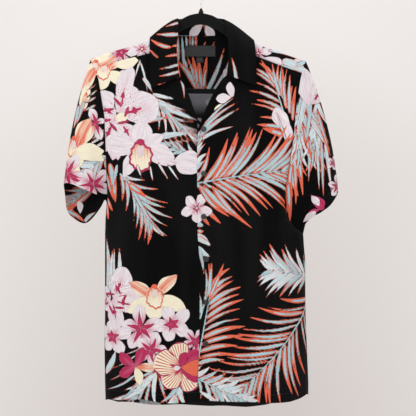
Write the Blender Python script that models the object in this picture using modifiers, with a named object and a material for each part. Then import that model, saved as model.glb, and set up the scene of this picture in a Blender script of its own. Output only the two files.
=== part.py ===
"""Short-sleeved camp-collar shirt on a slim contour hanger.

Run with: blender --background --python part.py

The frame has +Z up and +X to the viewer's right, and the front of the shirt faces -Y.
The origin is the inside top of the hook, where it rests on a rod. Left and right in the
names are the wearer's, so the wearer's right side lies at -X.

Every panel is a grid of points on one surface: how far the cloth stands from the plane of
the hanger is a function of x and z, and the seams are curves drawn on it. Solidify then
gives each grid its wall. All tables are in millimetres.
"""

import math

import bmesh
import bpy
import numpy as np

MM = 0.001

WALL = 1.2  # cloth
SEAM = 0.5  # between two pieces that are sewn edge to edge
LAID = 0.5  # between a piece and the piece that it lies on
ARM_THICK = 6.0  # hanger, front to back
ARM_EDGE = 2.0  # round along the hanger's edges
BAR_TOP, BAR_BOTTOM = -243.0, -253.5
HANGER_TILT = math.radians(1.0)  # the viewer's right hangs lower
WIRE = 3.2  # hook wire diameter
HOOK_RADIUS = 20.6  # to the middle of the wire
HOOK_FROM, HOOK_TO = math.radians(-48), math.radians(205)  # the hook's arc, about +Y
BOSS_TOP, BOSS_FOOT = 4.6, 11.5  # cone diameters where the wire leaves the hanger
BOSS_HEIGHT = 8.6
BOSS_GAP = 0.35  # between hanger and cone, and between cone and wire
BUTTON_WIDE, BUTTON_THICK = 11.4, 2.4
BUTTON_HOLE, BUTTON_HOLES_APART = 1.7, 3.4
BUTTON_INSET = 13.5  # button centre from the front edge
BUTTON_HEIGHTS = (-331.0, -423.0, -511.0, -598.0, -686.0, -770.0)
LAP = 29.0  # how far the left front reaches over the right one
BREAK = -345.0  # height where the fronts meet, below which they lap
YOKE_DEEP = -243.0  # height of the back yoke seam
FRONT_SEAM_IN = 84.0  # x where the front yoke seam meets the neck seam
NECK_HALF = 83.0  # where the neck seam crosses the shoulders
NECK_BACK = 45.0  # back of the neck, behind the hanger
NECK_SEAM = -124.0
RIDGE_ROUND = 4.6  # half the thickness of the shoulder's ridge
SHOULDER_FALL = 95.0  # drop over which front and back part below the ridge
LABEL = (-36.5, 29.5, -145.5, -169.5)  # left, right, top and bottom
SIZE_TAB = (-12.0, 3.0, -170.6, -182.0)
LABEL_IN = -(2 * (WALL + LAID) + 0.3)  # from the yoke's middle to the label's


def table(names, *rows):
    """Named columns, read down the rows."""
    return dict(zip(names.split(), np.array(rows, float).T))


# The top of the hanger's arms, from the middle out to the rounded end.
ARM = table(
    "x top height",
    (0, -84.0, 24),
    (24, -89.0, 24),
    (45, -101.0, 23),
    (64, -117.0, 22),
    (85, -133.0, 20),
    (105, -144.0, 18),
    (142, -157.0, 16),
    (193, -174.5, 14),
    (214, -184.0, 13),
)
# How far the shoulder's ridge stands over the arms.
RIDGE_LIFT = table(
    "x lift",
    (-232, -2.5),
    (-226, 1.8),
    (-218, 3.0),
    (-208, 3.2),
    (-170, 1.0),
    (-125, 0.6),
    (-83, 0.6),
    (83, 0.6),
    (130, 0.3),
    (170, 0.9),
    (203, 2.1),
    (213, 2.7),
    (219, 1.9),
)
# The armholes and side seams, at the front and at the back, and the front edge.
SIDES = table(
    "z right_front right_back left_front left_back edge",
    (-925, -201, -201, 224, 224, -9),
    (-860, -203, -203, 224, 224, -8),
    (-790, -204, -204, 221, 221, -5),
    (-720, -203, -203, 218, 218, -4),
    (-600, -203, -203, 217, 217, -4),
    (-548, -203, -203, 213, 213, -8),
    (-534, -202.5, -202.5, 195, 208, -9),
    (-516, -202, -202, 180, 204, -9),
    (-487, -200, -200, 174, 200, -9),
    (-475, -198, -198, 174, 199, -9),
    (-446, -197.4, -196, 175, 198, -9),
    (-394, -198.5, -196, 183, 196, -9),
    (-345, -199.4, -197, 190.5, 196, -9),
    (-301, -201.3, -200, 194, 198, -9),
    (-259, -208.4, -206, 200, 202, -9),
    (-229, -213.8, -213, 205, 206, -9),
    (-204, -222.0, -221, 211, 212, -9),
    (-185, -233.0, -233, 219, 219, -9),
)
SHOULDER_TIP = {"right": (-232.0, -483.0), "left": (218.0, -548.0)}  # x, and the underarm's z
ARMHOLE_DEEP = 35.0  # how far the armhole's front and back edges stand from the hanger's plane
# The top of each front: along the roll line, the neck seam and the front yoke seam.
FRONT_TOP = {
    "left": table(
        "x z",
        (-9, -337),
        (6, -294),
        (18, -268),
        (30, -245),
        (42, -227),
        (54, -216),
        (66, -206),
        (76, -192),
        (80, -177),
        (84, -164.5),
        (114, -176),
        (160, -194),
        (213, -214),
    ),
    "right": table(
        "x z",
        (-224, -205),
        (-190, -191),
        (-148, -180),
        (-108, -170),
        (-84, -161.5),
        (-80, -173),
        (-74, -188),
        (-64, -201),
        (-52, -212),
        (-41, -222),
        (-30, -249),
        (-20, -277),
        (-9, -312),
        (6, -345),
        (22, -362),
    ),
}
# How far the middle of the front and of the back stands from the hanger's plane.
DEPTH = table(
    "z front back",
    (-925, 60, 58),
    (-800, 60, 57),
    (-600, 56, 54),
    (-450, 49, 49),
    (-330, 43, 47),
    (-230, 38, 46),
    (-100, 36, 46),
)
# The hem's height across the fronts and the back.
HEM = table(
    "x front back",
    (-203, -889, -896),
    (-180, -888, -908),
    (-123, -885, -916),
    (-87, -890, -918),
    (-54, -891, -919),
    (-10, -887, -920),
    (24, -886, -922),
    (95, -889, -922),
    (137, -893, -918),
    (183, -890, -908),
    (204, -886, -896),
    (226, -878, -884),
)
# The largest folds: each is a soft vertical wave that fades in below its top.
FOLDS = {
    "front": table(
        "x top wide rise lean",
        (-168, -330, 26, 6.5, 8),
        (-118, -470, 34, -6.0, -10),
        (-62, -560, 30, 4.5, 6),
        (62, -520, 32, 5.0, -12),
        (112, -400, 30, -6.0, 10),
        (160, -300, 26, 6.5, 14),
    ),
    "back": table(
        "x top wide rise lean",
        (-160, -330, 28, 7.0, 8),
        (-96, -260, 26, -6.5, -8),
        (-40, -250, 24, 7.0, -4),
        (34, -250, 24, 7.0, 6),
        (92, -300, 28, -6.0, 10),
        (158, -340, 28, 7.0, 4),
    ),
}
# The sleeves' hems, from below the shoulder's tip, at t = 0, round to the underarm.
SLEEVE_HEM = {
    "right": table(
        "t front_x front_z back_x back_z",
        (0.00, -289, -452, -289, -452),
        (0.12, -287, -443, -286, -494),
        (0.30, -272, -443, -271, -516),
        (0.50, -248, -453, -249, -526),
        (0.80, -217, -466, -217, -496),
        (1.00, -203, -474, -203, -474),
    ),
    "left": table(
        "t front_x front_z back_x back_z",
        (0.00, 286, -453, 286, -453),
        (0.12, 284, -462, 283, -450),
        (0.30, 270, -484, 270, -462),
        (0.55, 248, -502, 248, -482),
        (0.80, 229, -513, 229, -505),
        (1.00, 218, -526, 218, -526),
    ),
}
SLEEVE_BULGE = {"right": 9.0, "left": 11.0}  # how much fuller the cap is halfway down
SLEEVE_DEEP = 30.0  # how far the sleeve's hem opens to the front and to the back
ARMHOLE_EASE = 0.4  # more gap at the armholes, where the cloth turns sharply
# The collar, from the gorge on one side round the back of the neck to the other: its neck
# seam, its roll and the edge of its leaf.
COLLAR = table(
    "seam_x seam_y seam_z roll_x roll_y roll_z edge_x edge_y edge_z",
    (-52, -30, -226, -45, -34, -223, -104, -33, -247),
    (-70, -26, -200, -50, -33, -188, -106, -31, -226),
    (-81, -20, -171, -50.5, -27, -152, -108, -27, -196),
    (-81.5, -14, -148, -50, -17, -120, -108, -21, -165),
    (-82, -3, -124.5, -51, -3, -98, -107, -1, -135),
    (-74, 20, -124, -48, 21, -94, -92, 34, -146),
    (-56, 34, -124, -39, 36, -90, -66, 51, -142),
    (-30, 43, -124, -24, 46, -87, -35, 58.5, -138),
    (1, 46.5, -124, 1, 50, -86, 1, 61, -136),
    (32, 43, -124, 26, 46, -87, 37, 58.5, -138),
    (57, 34, -124, 42, 36, -90, 68, 51, -143),
    (75, 20, -125, 50, 21, -95, 94, 34, -148),
    (82, -1, -128, 50, 0, -102, 108, 0, -140.5),
    (81.5, -14, -150, 53.5, -17, -124, 112, -21, -169),
    (81, -20, -173, 57, -27, -154, 113, -27, -198),
    (70, -26, -200, 57, -33, -187, 114, -31, -222),
    (58, -30, -223, 53, -34, -219, 113, -34, -242),
)
# The turned-out lapels: roll line and outer edge, from the break up to the gorge.
LAPEL = {
    "left": table(
        "roll_x roll_z edge_x edge_z",
        (-7.5, -334, -5.5, -336),
        (0, -313, 3, -311.5),
        (9, -289, 24, -294),
        (20, -266, 48, -276),
        (32, -244, 70, -259),
        (43, -231, 83, -246),
        (50, -225, 76, -238),
    ),
    "right": table(
        "roll_x roll_z edge_x edge_z",
        (-9, -309, -11, -312),
        (-14, -295, -20, -300),
        (-21, -277, -34, -289),
        (-29, -256, -50, -275),
        (-36, -240, -66, -262),
        (-42, -231, -77, -252),
        (-47, -228, -70, -243),
    ),
}
FINISH = {  # colour, roughness, metallic
    "cloth": ((0.012, 0.010, 0.011, 1), 0.8, 0),
    "woven_label": ((0.03, 0.03, 0.032, 1), 0.8, 0),
    "button": ((0.01, 0.01, 0.012, 1), 0.3, 0),
    "flocked": ((0.008, 0.008, 0.008, 1), 0.95, 0),
    "chrome": ((0.6, 0.6, 0.62, 1), 0.2, 1),
}


def curve(columns, of, name, at):
    """The column as a smooth curve through its rows, read at the given places."""
    x, y = columns[of], columns[name]
    order = np.argsort(x)
    x, y = x[order], y[order]
    slope = np.gradient(y, x)
    at = np.clip(at, x[0], x[-1])
    k = np.clip(np.searchsorted(x, at) - 1, 0, len(x) - 2)
    wide = x[k + 1] - x[k]
    t = (at - x[k]) / wide
    return (
        (1 + 2 * t) * (1 - t) ** 2 * y[k]
        + t * (1 - t) ** 2 * wide * slope[k]
        + t * t * (3 - 2 * t) * y[k + 1]
        + t * t * (t - 1) * wide * slope[k + 1]
    )


def straight(columns, of, name, at):
    """The column read straight between its rows."""
    order = np.argsort(columns[of])
    return np.interp(at, columns[of][order], columns[name][order])


def arm_top(x):
    """Height of the hanger's top edge at x, once the hanger is turned by its tilt."""
    sine, cosine = math.sin(HANGER_TILT), math.cos(HANGER_TILT)
    own_z = curve(ARM, "x", "top", np.abs(x))
    for _ in range(4):
        own_x = (x - own_z * sine) / cosine
        own_z = curve(ARM, "x", "top", np.abs(own_x))
    return own_z * cosine - own_x * sine


def ridge(x):
    """Height of the shoulder's ridge, which lies on the tilted arms of the hanger."""
    return arm_top(x) + LAID + WALL / 2 + straight(RIDGE_LIFT, "x", "lift", x)


def armhole_depth(side, z):
    """How far the armhole's edge stands from the hanger's plane, an oval from tip to underarm.

    With t from 0 to 1 down its height it is ARMHOLE_DEEP * sin(pi t^0.8)^0.75.
    """
    x, low = SHOULDER_TIP[side]
    high = ridge(np.array(x))
    t = np.clip((high - z) / (high - low), 0, 1)
    return ARMHOLE_DEEP * np.sin(np.pi * t**0.8) ** 0.75


def folds(face, x, z):
    """The sum of the vertical waves on the front or the back.

    Each is rise * exp(-(across / wide)^2), and it fades in over 260 mm below its top.
    """
    total = np.zeros(np.broadcast(x, z).shape)
    rows = FOLDS[face]
    for middle, top, wide, rise, lean in zip(*rows.values()):
        down = np.clip((top - z) / 260, 0, 1)
        grown = down * down * (3 - 2 * down)
        across = (x - middle - lean * (top - z) / 500) / wide
        total += rise * grown * np.exp(-across * across)
    return total


def depth(face, x, z):
    """How far the cloth stands from the hanger's plane at x and z, as a positive distance.

    Below the ridge by h it grows as 1 - exp(-h / SHOULDER_FALL) to the middle's depth with its
    folds, and towards each side, at u = 1, it closes as (1 - u^4)^0.5 to the armhole's edge.
    """
    x, z = np.broadcast_arrays(np.asarray(x, float), np.asarray(z, float))
    right = x < straight(SIDES, "z", "edge", z)
    side_x = np.where(
        right,
        straight(SIDES, "z", "right_" + face, z),
        straight(SIDES, "z", "left_" + face, z),
    )
    edge = np.where(right, armhole_depth("right", z), armhole_depth("left", z))
    u = np.clip(np.abs(x / side_x), 0, 1)
    flat = (1 - u**4) ** 0.5
    h = np.clip(ridge(np.where(np.abs(x) < NECK_HALF, np.sign(x) * NECK_HALF, x)) - z, 0, None)
    round_off = RIDGE_ROUND * np.sqrt(np.clip(1 - (1 - np.clip(h / RIDGE_ROUND, 0, 1)) ** 2, 0, 1))
    spread = 1 - np.exp(-h / SHOULDER_FALL)
    middle = straight(DEPTH, "z", face, z) + folds(face, x, z)
    if face == "back":
        neck = NECK_BACK * np.sqrt(np.clip(1 - (x / NECK_HALF) ** 2, 0, 1))
        round_off = np.maximum(round_off, neck)
    top = np.minimum(edge, round_off + 100 * spread)
    return top + (round_off + (middle - round_off) * spread - top) * flat


def on(face, x, z, out=0.0):
    """Points on the front or the back, moved out of the surface by a distance."""
    y = np.maximum(depth(face, x, z), SEAM / 2) + out
    x, z = np.broadcast_arrays(x, z)
    return np.stack([x, -y if face == "front" else y, z], axis=-1)


def material(name):
    """One plain material for each finish."""
    made = bpy.data.materials.get(name)
    if made is None:
        made = bpy.data.materials.new(name)
        made.use_nodes = True
        colour, roughness, metallic = FINISH[name]
        shader = made.node_tree.nodes["Principled BSDF"]
        shader.inputs["Base Color"].default_value = colour
        shader.inputs["Roughness"].default_value = roughness
        shader.inputs["Metallic"].default_value = metallic
    return made


def put(name, mesh, finish, parts):
    """A mesh as a named object with its material, in the parts' collection."""
    obj = bpy.data.objects.new(name, mesh)
    parts.objects.link(obj)
    mesh.materials.append(material(finish))
    return obj


def grids_mesh(name, grids, loop=False):
    """One open mesh of grids of points in mm, whose shared edges are merged."""
    points, faces, start = [], [], 0
    for grid in grids:
        rows, cols = grid.shape[:2]
        index = start + np.arange(rows * cols).reshape(rows, cols)
        if loop:
            index = np.hstack([index, index[:, :1]])
        corners = index[:-1, :-1], index[1:, :-1], index[1:, 1:], index[:-1, 1:]
        faces += np.stack(corners, axis=-1).reshape(-1, 4).tolist()
        points.append(grid.reshape(-1, 3))
        start += rows * cols
    mesh = bpy.data.meshes.new(name)
    mesh.from_pydata((np.concatenate(points) * MM).tolist(), [], faces)
    shape = bmesh.new()
    shape.from_mesh(mesh)
    bmesh.ops.remove_doubles(shape, verts=shape.verts, dist=0.05 * MM)
    bmesh.ops.dissolve_degenerate(shape, edges=shape.edges, dist=0.05 * MM)
    shape.to_mesh(mesh)
    shape.free()
    mesh.shade_smooth()
    return mesh


def cloth(name, grids, parts, finish="cloth", wall=WALL, loop=False):
    """A cloth piece: its grids of points with a wall about them."""
    obj = put(name, grids_mesh(name, grids, loop), finish, parts)
    shell = obj.modifiers.new("wall", "SOLIDIFY")
    shell.thickness = wall * MM
    shell.offset = 0
    return obj


def numbers(*values):
    """A short row of numbers as an array."""
    return np.array(values, float)


# Heights of the rows of the fronts and the back where they meet the armholes and side seams.
LEVELS = {
    "right": numbers(-265, -300, -345, -394, -435, -462, -483, -520, -590, -680, -780, -850),
    "left": numbers(-275, -320, -370, -420, -460, -490, -512, -530, -548, -600, -690, -780, -850),
}
OUT = numbers(0, 0.08, 0.17, 0.27, 0.37, 0.47, 0.57, 0.67, 0.76, 0.84, 0.91, 0.96, 0.99, 1)


def seam_inset(side, z):
    """The gap at an armhole, which closes below the underarm, where the side seam begins."""
    return SEAM / 2 * np.clip((z - SHOULDER_TIP[side][1]) / 12, 0, 1)


def side_x(side, face, z):
    """x of a panel's side edge at each height."""
    sign = 1 if side == "left" else -1
    return straight(SIDES, "z", f"{side}_{face}", z) - sign * seam_inset(side, z)


def edge_x(z, lap):
    """x of a front edge. Below the break the lap's reach is added over 25 mm of height."""
    return straight(SIDES, "z", "edge", z) + lap * np.clip((BREAK - z) / 25, 0, 1)


def rows_down(side, start, hem):
    """Fractions from a panel's top to its hem that meet the side at LEVELS."""
    side_z = np.concatenate([[start], LEVELS[side], [hem]])
    return (side_z - start) / (hem - start)


def front_panel(side, parts):
    """A front: columns from the front edge out to the side, rows from its top to the hem.

    The right front lies one wall behind the left one from x = -30 on, and this starts at -55.
    """
    lap = 0.0 if side == "left" else LAP
    top, x, hem = FRONT_TOP[side], np.zeros(len(OUT)), np.full(len(OUT), -890.0)
    for _ in range(20):
        z = straight(top, "x", "z", x)
        x = edge_x(z, lap) + (side_x(side, "front", z) - edge_x(z, lap)) * OUT
    top_z = straight(top, "x", "z", x) - SEAM / 2
    for _ in range(6):
        x = edge_x(hem, lap) + (side_x(side, "front", hem) - edge_x(hem, lap)) * OUT
        hem = straight(HEM, "x", "front", x)
    z = top_z + (hem - top_z) * rows_down(side, top_z[-1], hem[-1])[:, None]
    x = edge_x(z, lap) + (side_x(side, "front", z) - edge_x(z, lap)) * OUT
    under = -(WALL + LAID) * np.clip((x + 55) / 25, 0, 1) if lap else 0.0
    cloth("front_" + side, [on("front", x, z, under)], parts)


def across_back(z):
    """x of the columns of the back at each height, from the wearer's right to the left."""
    right, left = side_x("right", "back", z), side_x("left", "back", z)
    u = np.concatenate([-OUT[::-1], OUT[1:]]) / 2 + 0.5
    return right + (left - right) * u


def back_panel(parts):
    """The back below its yoke. Its two sides have their own rows, blended across it."""
    top_z = YOKE_DEEP - SEAM / 2
    columns = len(OUT) * 2 - 1
    hem = np.full(columns, -915.0)
    for _ in range(4):
        hem = straight(HEM, "x", "back", across_back(hem))
    side_rows = [
        (np.concatenate([[top_z], levels, [end]]) - top_z) / (end - top_z)
        for levels, end in (
            (np.insert(LEVELS["right"], -2, -730), hem[0]),
            (LEVELS["left"], hem[-1]),
        )
    ]
    share = np.linspace(0, 1, columns)
    share = share * share * (3 - 2 * share)
    down = side_rows[0][:, None] * (1 - share) + side_rows[1][:, None] * share
    z = top_z + (hem - top_z) * down
    cloth("back", [on("back", across_back(z), z)], parts)


def neck_seam_height(x):
    """Height of the neck seam across the back, which rises from the shoulders to the middle."""
    side = np.where(x < 0, ridge(np.array(-NECK_HALF)), ridge(np.array(NECK_HALF)))
    t = np.clip(np.abs(x) / NECK_HALF, 0, 1) ** 3
    return NECK_SEAM + (side - NECK_SEAM) * t


NEAR_RIDGE = numbers(0.8, 2.4, 5.0, 10.0)
YOKE_OUT = numbers(0, 0.12, 0.26, 0.42, 0.58, 0.74, 0.88, 0.96, 1)


def yoke_side(side, face, low_of, rows):
    """A shoulder's grid from the ridge down to a seam, its columns going out to the armhole."""
    near = NECK_HALF * (1 if side == "left" else -1)
    tip = SHOULDER_TIP[side][0] - np.sign(near) * SEAM / 2
    crest_x = near + (tip - near) * YOKE_OUT
    start = ridge(crest_x)
    x = np.tile(crest_x, (len(NEAR_RIDGE) + len(rows) + 1, 1))
    for _ in range(8):
        low = low_of(x[-1])
        first = start - NEAR_RIDGE[-1]
        below = first + (low - first) * rows[:, None]
        z = np.concatenate([start - np.append(0, NEAR_RIDGE)[:, None], below])
        limit = side_x(side, face, z)
        limit[0] = tip
        x = near + (limit - near) * YOKE_OUT
    grid = on(face, x, z)
    grid[0, :, 1] = 0
    return grid


def front_seam(side):
    """Gives the height of the front yoke seam at x, from the yoke's side."""

    def height(x):
        beyond = np.where(np.abs(x) < FRONT_SEAM_IN, np.sign(x) * FRONT_SEAM_IN, x)
        return straight(FRONT_TOP[side], "x", "z", beyond) + SEAM

    return height


def yoke_back():
    """The yoke behind the ridge, from one armhole round the neck to the other."""
    rows = numbers(0.35, 0.68, 1)
    right, left = (
        yoke_side(side, "back", lambda x: YOKE_DEEP + SEAM / 2 + 0 * x, rows)
        for side in ("right", "left")
    )
    angle = np.linspace(-math.pi / 2, math.pi / 2, 15)[1:-1]
    x = NECK_HALF * np.sin(angle)
    start = neck_seam_height(x) - SEAM / 2
    column = right[:, 0, 2]
    share = (column - column[0]) / (column[-1] - column[0])
    z = start + (YOKE_DEEP + SEAM / 2 - start) * share[:, None]
    return np.concatenate([right[:, ::-1], on("back", x, z), left], axis=1)


def yoke(parts):
    """Both shoulders, from the front seams over the ridge, and the back down to its seam."""
    grids = [yoke_back()]
    for side in ("right", "left"):
        front = yoke_side(side, "front", front_seam(side), numbers(0.45, 1))[::-1]
        grids.append(front if side == "left" else front[:, ::-1])
    cloth("yoke", grids, parts)


def moved(grid, distance):
    """The grid's points moved along its normals, towards its left where columns run east."""
    down, along = np.gradient(grid, axis=0), np.gradient(grid, axis=1)
    normal = np.cross(down, along)
    normal /= np.linalg.norm(normal, axis=-1)[..., None]
    return grid + normal * distance


def yoke_inner(parts):
    """The inner yoke behind the neck, inside the outer one and clear of the hanger."""
    inside = moved(yoke_back(), WALL + LAID)
    cloth("yoke_inner", [inside[3:, 4:-4]], parts)


def patch(name, box, out, parts):
    """A flat label that follows the inner yoke behind the neck."""
    left, right, top, bottom = box
    x, z = np.meshgrid(np.linspace(left, right, 9), np.linspace(top, bottom, 4))
    cloth(name, [on("back", x, z, out)], parts, "woven_label", 0.8)


def lapel(side, parts):
    """A lapel turned out over its front, from the roll line to its edge."""
    rows = LAPEL[side]
    t = numbers(0, 0.15, 0.4, 0.7, 1)[:, None]
    s = np.linspace(0, 1, 13)
    place = dict(rows, s=np.linspace(0, 1, len(rows["roll_x"])))
    roll_x, roll_z, edge_x, edge_z = (
        curve(place, "s", name, s) for name in ("roll_x", "roll_z", "edge_x", "edge_z")
    )
    x = roll_x + (edge_x - roll_x) * t
    z = roll_z + (edge_z - roll_z) * t
    lift = WALL + LAID + 1.6 * (1 - t) ** 3
    grid = on("front", x, z, lift)
    cloth("lapel_" + side, [grid if side == "left" else grid[:, ::-1]], parts)


def collar(parts):
    """The collar: a stand up to the roll, a tight fold, and a leaf that falls outside.

    Each row of points runs round the neck: the seam, the stand, four rows over the fold, and
    the leaf, which bows out by up to 3.5 mm.
    """
    count = len(COLLAR["seam_x"])
    place = dict(COLLAR, s=np.arange(count, dtype=float))
    s = np.linspace(0, count - 1, 2 * count - 1)
    seam, roll, edge = (
        np.stack([curve(place, "s", f"{part}_{axis}", s) for axis in "xyz"], axis=-1)
        for part in ("seam", "roll", "edge")
    )
    out = edge - roll
    out /= np.linalg.norm(out, axis=1)[:, None]
    inward = seam - roll
    inward /= np.linalg.norm(inward, axis=1)[:, None]
    up = -(out + inward)
    up /= np.maximum(np.linalg.norm(up, axis=1)[:, None], 1e-6)
    rows = [
        seam,
        seam + (roll - seam) * 0.5,
        roll + inward * 5,
        roll + inward * 1.6,
        roll + up * 0.4,
        roll + out * 1.6,
        roll + out * 6,
    ]
    rows += [roll + (edge - roll) * t for t in (0.25, 0.5, 0.75, 1.0)]
    grid = np.array(rows)
    bow = numbers(0, 0, 0, 0, 0, 0.5, 2.0, 3.5, 3.5, 2.0, 0)[:, None, None]
    ahead = np.gradient(roll, axis=0)
    face = np.cross(ahead, out)
    face /= np.linalg.norm(face, axis=1)[:, None]
    grid = grid + bow * face
    cloth("collar", [grid], parts)


def armhole_levels(side, face):
    """Heights of the armhole's points from the tip to the underarm, as the panels have them."""
    tip_x, low = SHOULDER_TIP[side]
    tip = float(ridge(np.array(tip_x)))
    if face == "front":
        seam = float(front_seam(side)(np.array(side_x(side, face, np.array(-208.0)))))
        rows = numbers(0.45, 1)
    else:
        seam = YOKE_DEEP + SEAM / 2
        rows = numbers(0.35, 0.68, 1)
    first = tip - NEAR_RIDGE[-1]
    levels = LEVELS[side]
    return np.concatenate(
        [[tip], tip - NEAR_RIDGE, first + (seam - first) * rows, levels[levels >= low]]
    )


def sleeve(side, parts):
    """A tube lofted from the armhole to the sleeve's hem, full at the cap."""
    sign = 1 if side == "left" else -1
    hem = SLEEVE_HEM[side]
    begin, end, full = [], [], []
    for face in ("front", "back"):
        toward = -1 if face == "front" else 1
        z = armhole_levels(side, face)
        x = side_x(side, face, z) + sign * (2 * seam_inset(side, z) + ARMHOLE_EASE)
        x[0] = SHOULDER_TIP[side][0] + sign * (SEAM / 2 + ARMHOLE_EASE)
        y = armhole_depth(side, z) * toward
        step = np.hypot(np.hypot(np.diff(x), np.diff(y)), np.diff(z))
        t = np.concatenate([[0], np.cumsum(step)])
        t /= t[-1]
        x[-1] += sign * SEAM
        deep = SLEEVE_DEEP * np.sin(np.pi * t) ** 0.7 * toward
        low = np.stack([curve(hem, "t", face + "_x", t), deep, curve(hem, "t", face + "_z", t)])
        pick = slice(None) if face == "front" else slice(-2, 0, -1)
        begin.append(np.stack([x, y, z], axis=-1)[pick])
        end.append(low.T[pick])
        full.append(np.cos(t[pick] * np.pi / 2))
    begin, end, full = (np.concatenate(part) for part in (begin, end, full))
    rings = []
    for s in numbers(0, 0.05, 0.14, 0.27, 0.42, 0.58, 0.74, 0.88, 1):
        ring = begin + (end - begin) * s
        ring[:, 0] += sign * SLEEVE_BULGE[side] * full * 4 * s * (1 - s)
        rings.append(ring)
    grid = np.array(rings)
    cloth("sleeve_" + side, [grid if side == "left" else grid[:, ::-1]], parts, loop=True)


def button(name, z, parts):
    """A four-hole button lying on the left front."""
    x = float(straight(SIDES, "z", "edge", z)) + BUTTON_INSET
    spread = np.array([-6.0, 0.0, 6.0])
    ahead = float(depth("front", x + spread, z + 0 * spread).max())
    ahead = max(ahead, float(depth("front", x + 0 * spread, z + spread).max()))
    y = -(ahead + WALL / 2 + LAID + BUTTON_THICK / 2)
    shape = bmesh.new()
    bmesh.ops.create_cone(
        shape,
        cap_ends=True,
        segments=28,
        radius1=BUTTON_WIDE / 2 * MM,
        radius2=BUTTON_WIDE / 2 * MM,
        depth=BUTTON_THICK * MM,
    )
    mesh = bpy.data.meshes.new(name)
    shape.to_mesh(mesh)
    shape.free()
    obj = put(name, mesh, "button", parts)
    obj.location = (x * MM, y * MM, z * MM)
    obj.rotation_euler = (math.pi / 2, 0, 0)
    rim = obj.modifiers.new("rim", "BEVEL")
    rim.width = 0.5 * MM
    rim.segments = 2
    rim.limit_method = "ANGLE"
    return obj


def button_holes(buttons, cutters):
    """Four thread holes through each button, cut by one joined cutter a button."""
    for obj in buttons:
        shape = bmesh.new()
        for i in (-1, 1):
            for j in (-1, 1):
                made = bmesh.ops.create_cone(
                    shape,
                    cap_ends=True,
                    segments=10,
                    radius1=BUTTON_HOLE / 2 * MM,
                    radius2=BUTTON_HOLE / 2 * MM,
                    depth=3 * BUTTON_THICK * MM,
                )
                shift = (i * BUTTON_HOLES_APART / 2 * MM, j * BUTTON_HOLES_APART / 2 * MM, 0)
                bmesh.ops.translate(shape, verts=made["verts"], vec=shift)
        mesh = bpy.data.meshes.new(obj.name + "_holes")
        shape.to_mesh(mesh)
        shape.free()
        cutter = bpy.data.objects.new(obj.name + "_holes", mesh)
        cutters.objects.link(cutter)
        cutter.location = obj.location
        cutter.rotation_euler = obj.rotation_euler
        cutter.hide_render = True
        cutter.display_type = "WIRE"
        cut = obj.modifiers.new("holes", "BOOLEAN")
        cut.object = cutter
        cut.solver = "EXACT"


def hanger_outline():
    """The hanger's outer outline and the outline of its opening, as x and z."""
    x = np.array([0, 12, 24, 35, 45, 55, 64, 74, 85, 95, 105, 122, 142, 167, 193, 206, 214])
    top = curve(ARM, "x", "top", x)
    under = top - curve(ARM, "x", "height", x)
    end_x, end_top = x[-1], top[-1]
    middle = (end_top + BAR_BOTTOM) / 2
    half = (end_top - BAR_BOTTOM) / 2
    angle = np.linspace(math.pi / 2, -math.pi / 2, 13)[1:-1]
    bulge = np.stack([end_x + 10 * np.cos(angle), middle + half * np.sin(angle)], axis=-1)
    half_top = np.stack([x, top], axis=-1)
    foot = np.array([[end_x, BAR_BOTTOM], [0, BAR_BOTTOM]])
    right = np.concatenate([half_top, bulge, foot])
    outer = np.concatenate([right, (right * (-1, 1))[::-1][1:-1]])
    inner_end = end_x - 10
    keep = x <= inner_end
    roof = np.stack([x[keep], under[keep]], axis=-1)
    corner = np.array([[inner_end + 1, (under[keep][-1] + BAR_TOP) / 2], [inner_end - 4, BAR_TOP]])
    half_hole = np.concatenate([roof, corner, [[0, BAR_TOP]]])
    hole = np.concatenate([half_hole, (half_hole * (-1, 1))[::-1][1:-1]])
    return outer, hole


def hanger_body(parts):
    """The flat flocked frame: arms, rounded ends and bar, with rounded edges."""
    data = bpy.data.curves.new("hanger_body", "CURVE")
    data.dimensions = "2D"
    data.fill_mode = "BOTH"
    data.extrude = (ARM_THICK / 2 - ARM_EDGE) * MM
    data.bevel_depth = ARM_EDGE * MM
    data.bevel_resolution = 1
    data.offset = -ARM_EDGE * MM
    for outline in hanger_outline():
        line = data.splines.new("POLY")
        line.points.add(len(outline) - 1)
        for point, (x, z) in zip(line.points, outline):
            point.co = (x * MM, z * MM, 0, 1)
        line.use_cyclic_u = True
    shape = bpy.data.objects.new("hanger_outline", data)
    parts.objects.link(shape)
    graph = bpy.context.evaluated_depsgraph_get()
    mesh = bpy.data.meshes.new_from_object(shape.evaluated_get(graph))
    bpy.data.objects.remove(shape)
    solid = bmesh.new()
    solid.from_mesh(mesh)
    bmesh.ops.remove_doubles(solid, verts=solid.verts, dist=0.01 * MM)
    bmesh.ops.recalc_face_normals(solid, faces=solid.faces)
    solid.to_mesh(mesh)
    solid.free()
    mesh.materials.clear()
    obj = put("hanger_body", mesh, "flocked", parts)
    obj.rotation_euler = (math.pi / 2, HANGER_TILT, 0)


def hanger_boss(parts):
    """The little cone that the wire leaves the hanger through."""
    shape = bmesh.new()
    bmesh.ops.create_cone(
        shape,
        cap_ends=True,
        segments=24,
        radius1=BOSS_FOOT / 2 * MM,
        radius2=BOSS_TOP / 2 * MM,
        depth=BOSS_HEIGHT * MM,
    )
    mesh = bpy.data.meshes.new("hanger_boss")
    shape.to_mesh(mesh)
    shape.free()
    obj = put("hanger_boss", mesh, "flocked", parts)
    z = ARM["top"][0] + BOSS_GAP + BOSS_HEIGHT / 2
    obj.location = (z * math.sin(HANGER_TILT) * MM, 0, z * math.cos(HANGER_TILT) * MM)
    obj.rotation_euler = (0, HANGER_TILT, 0)


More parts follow.
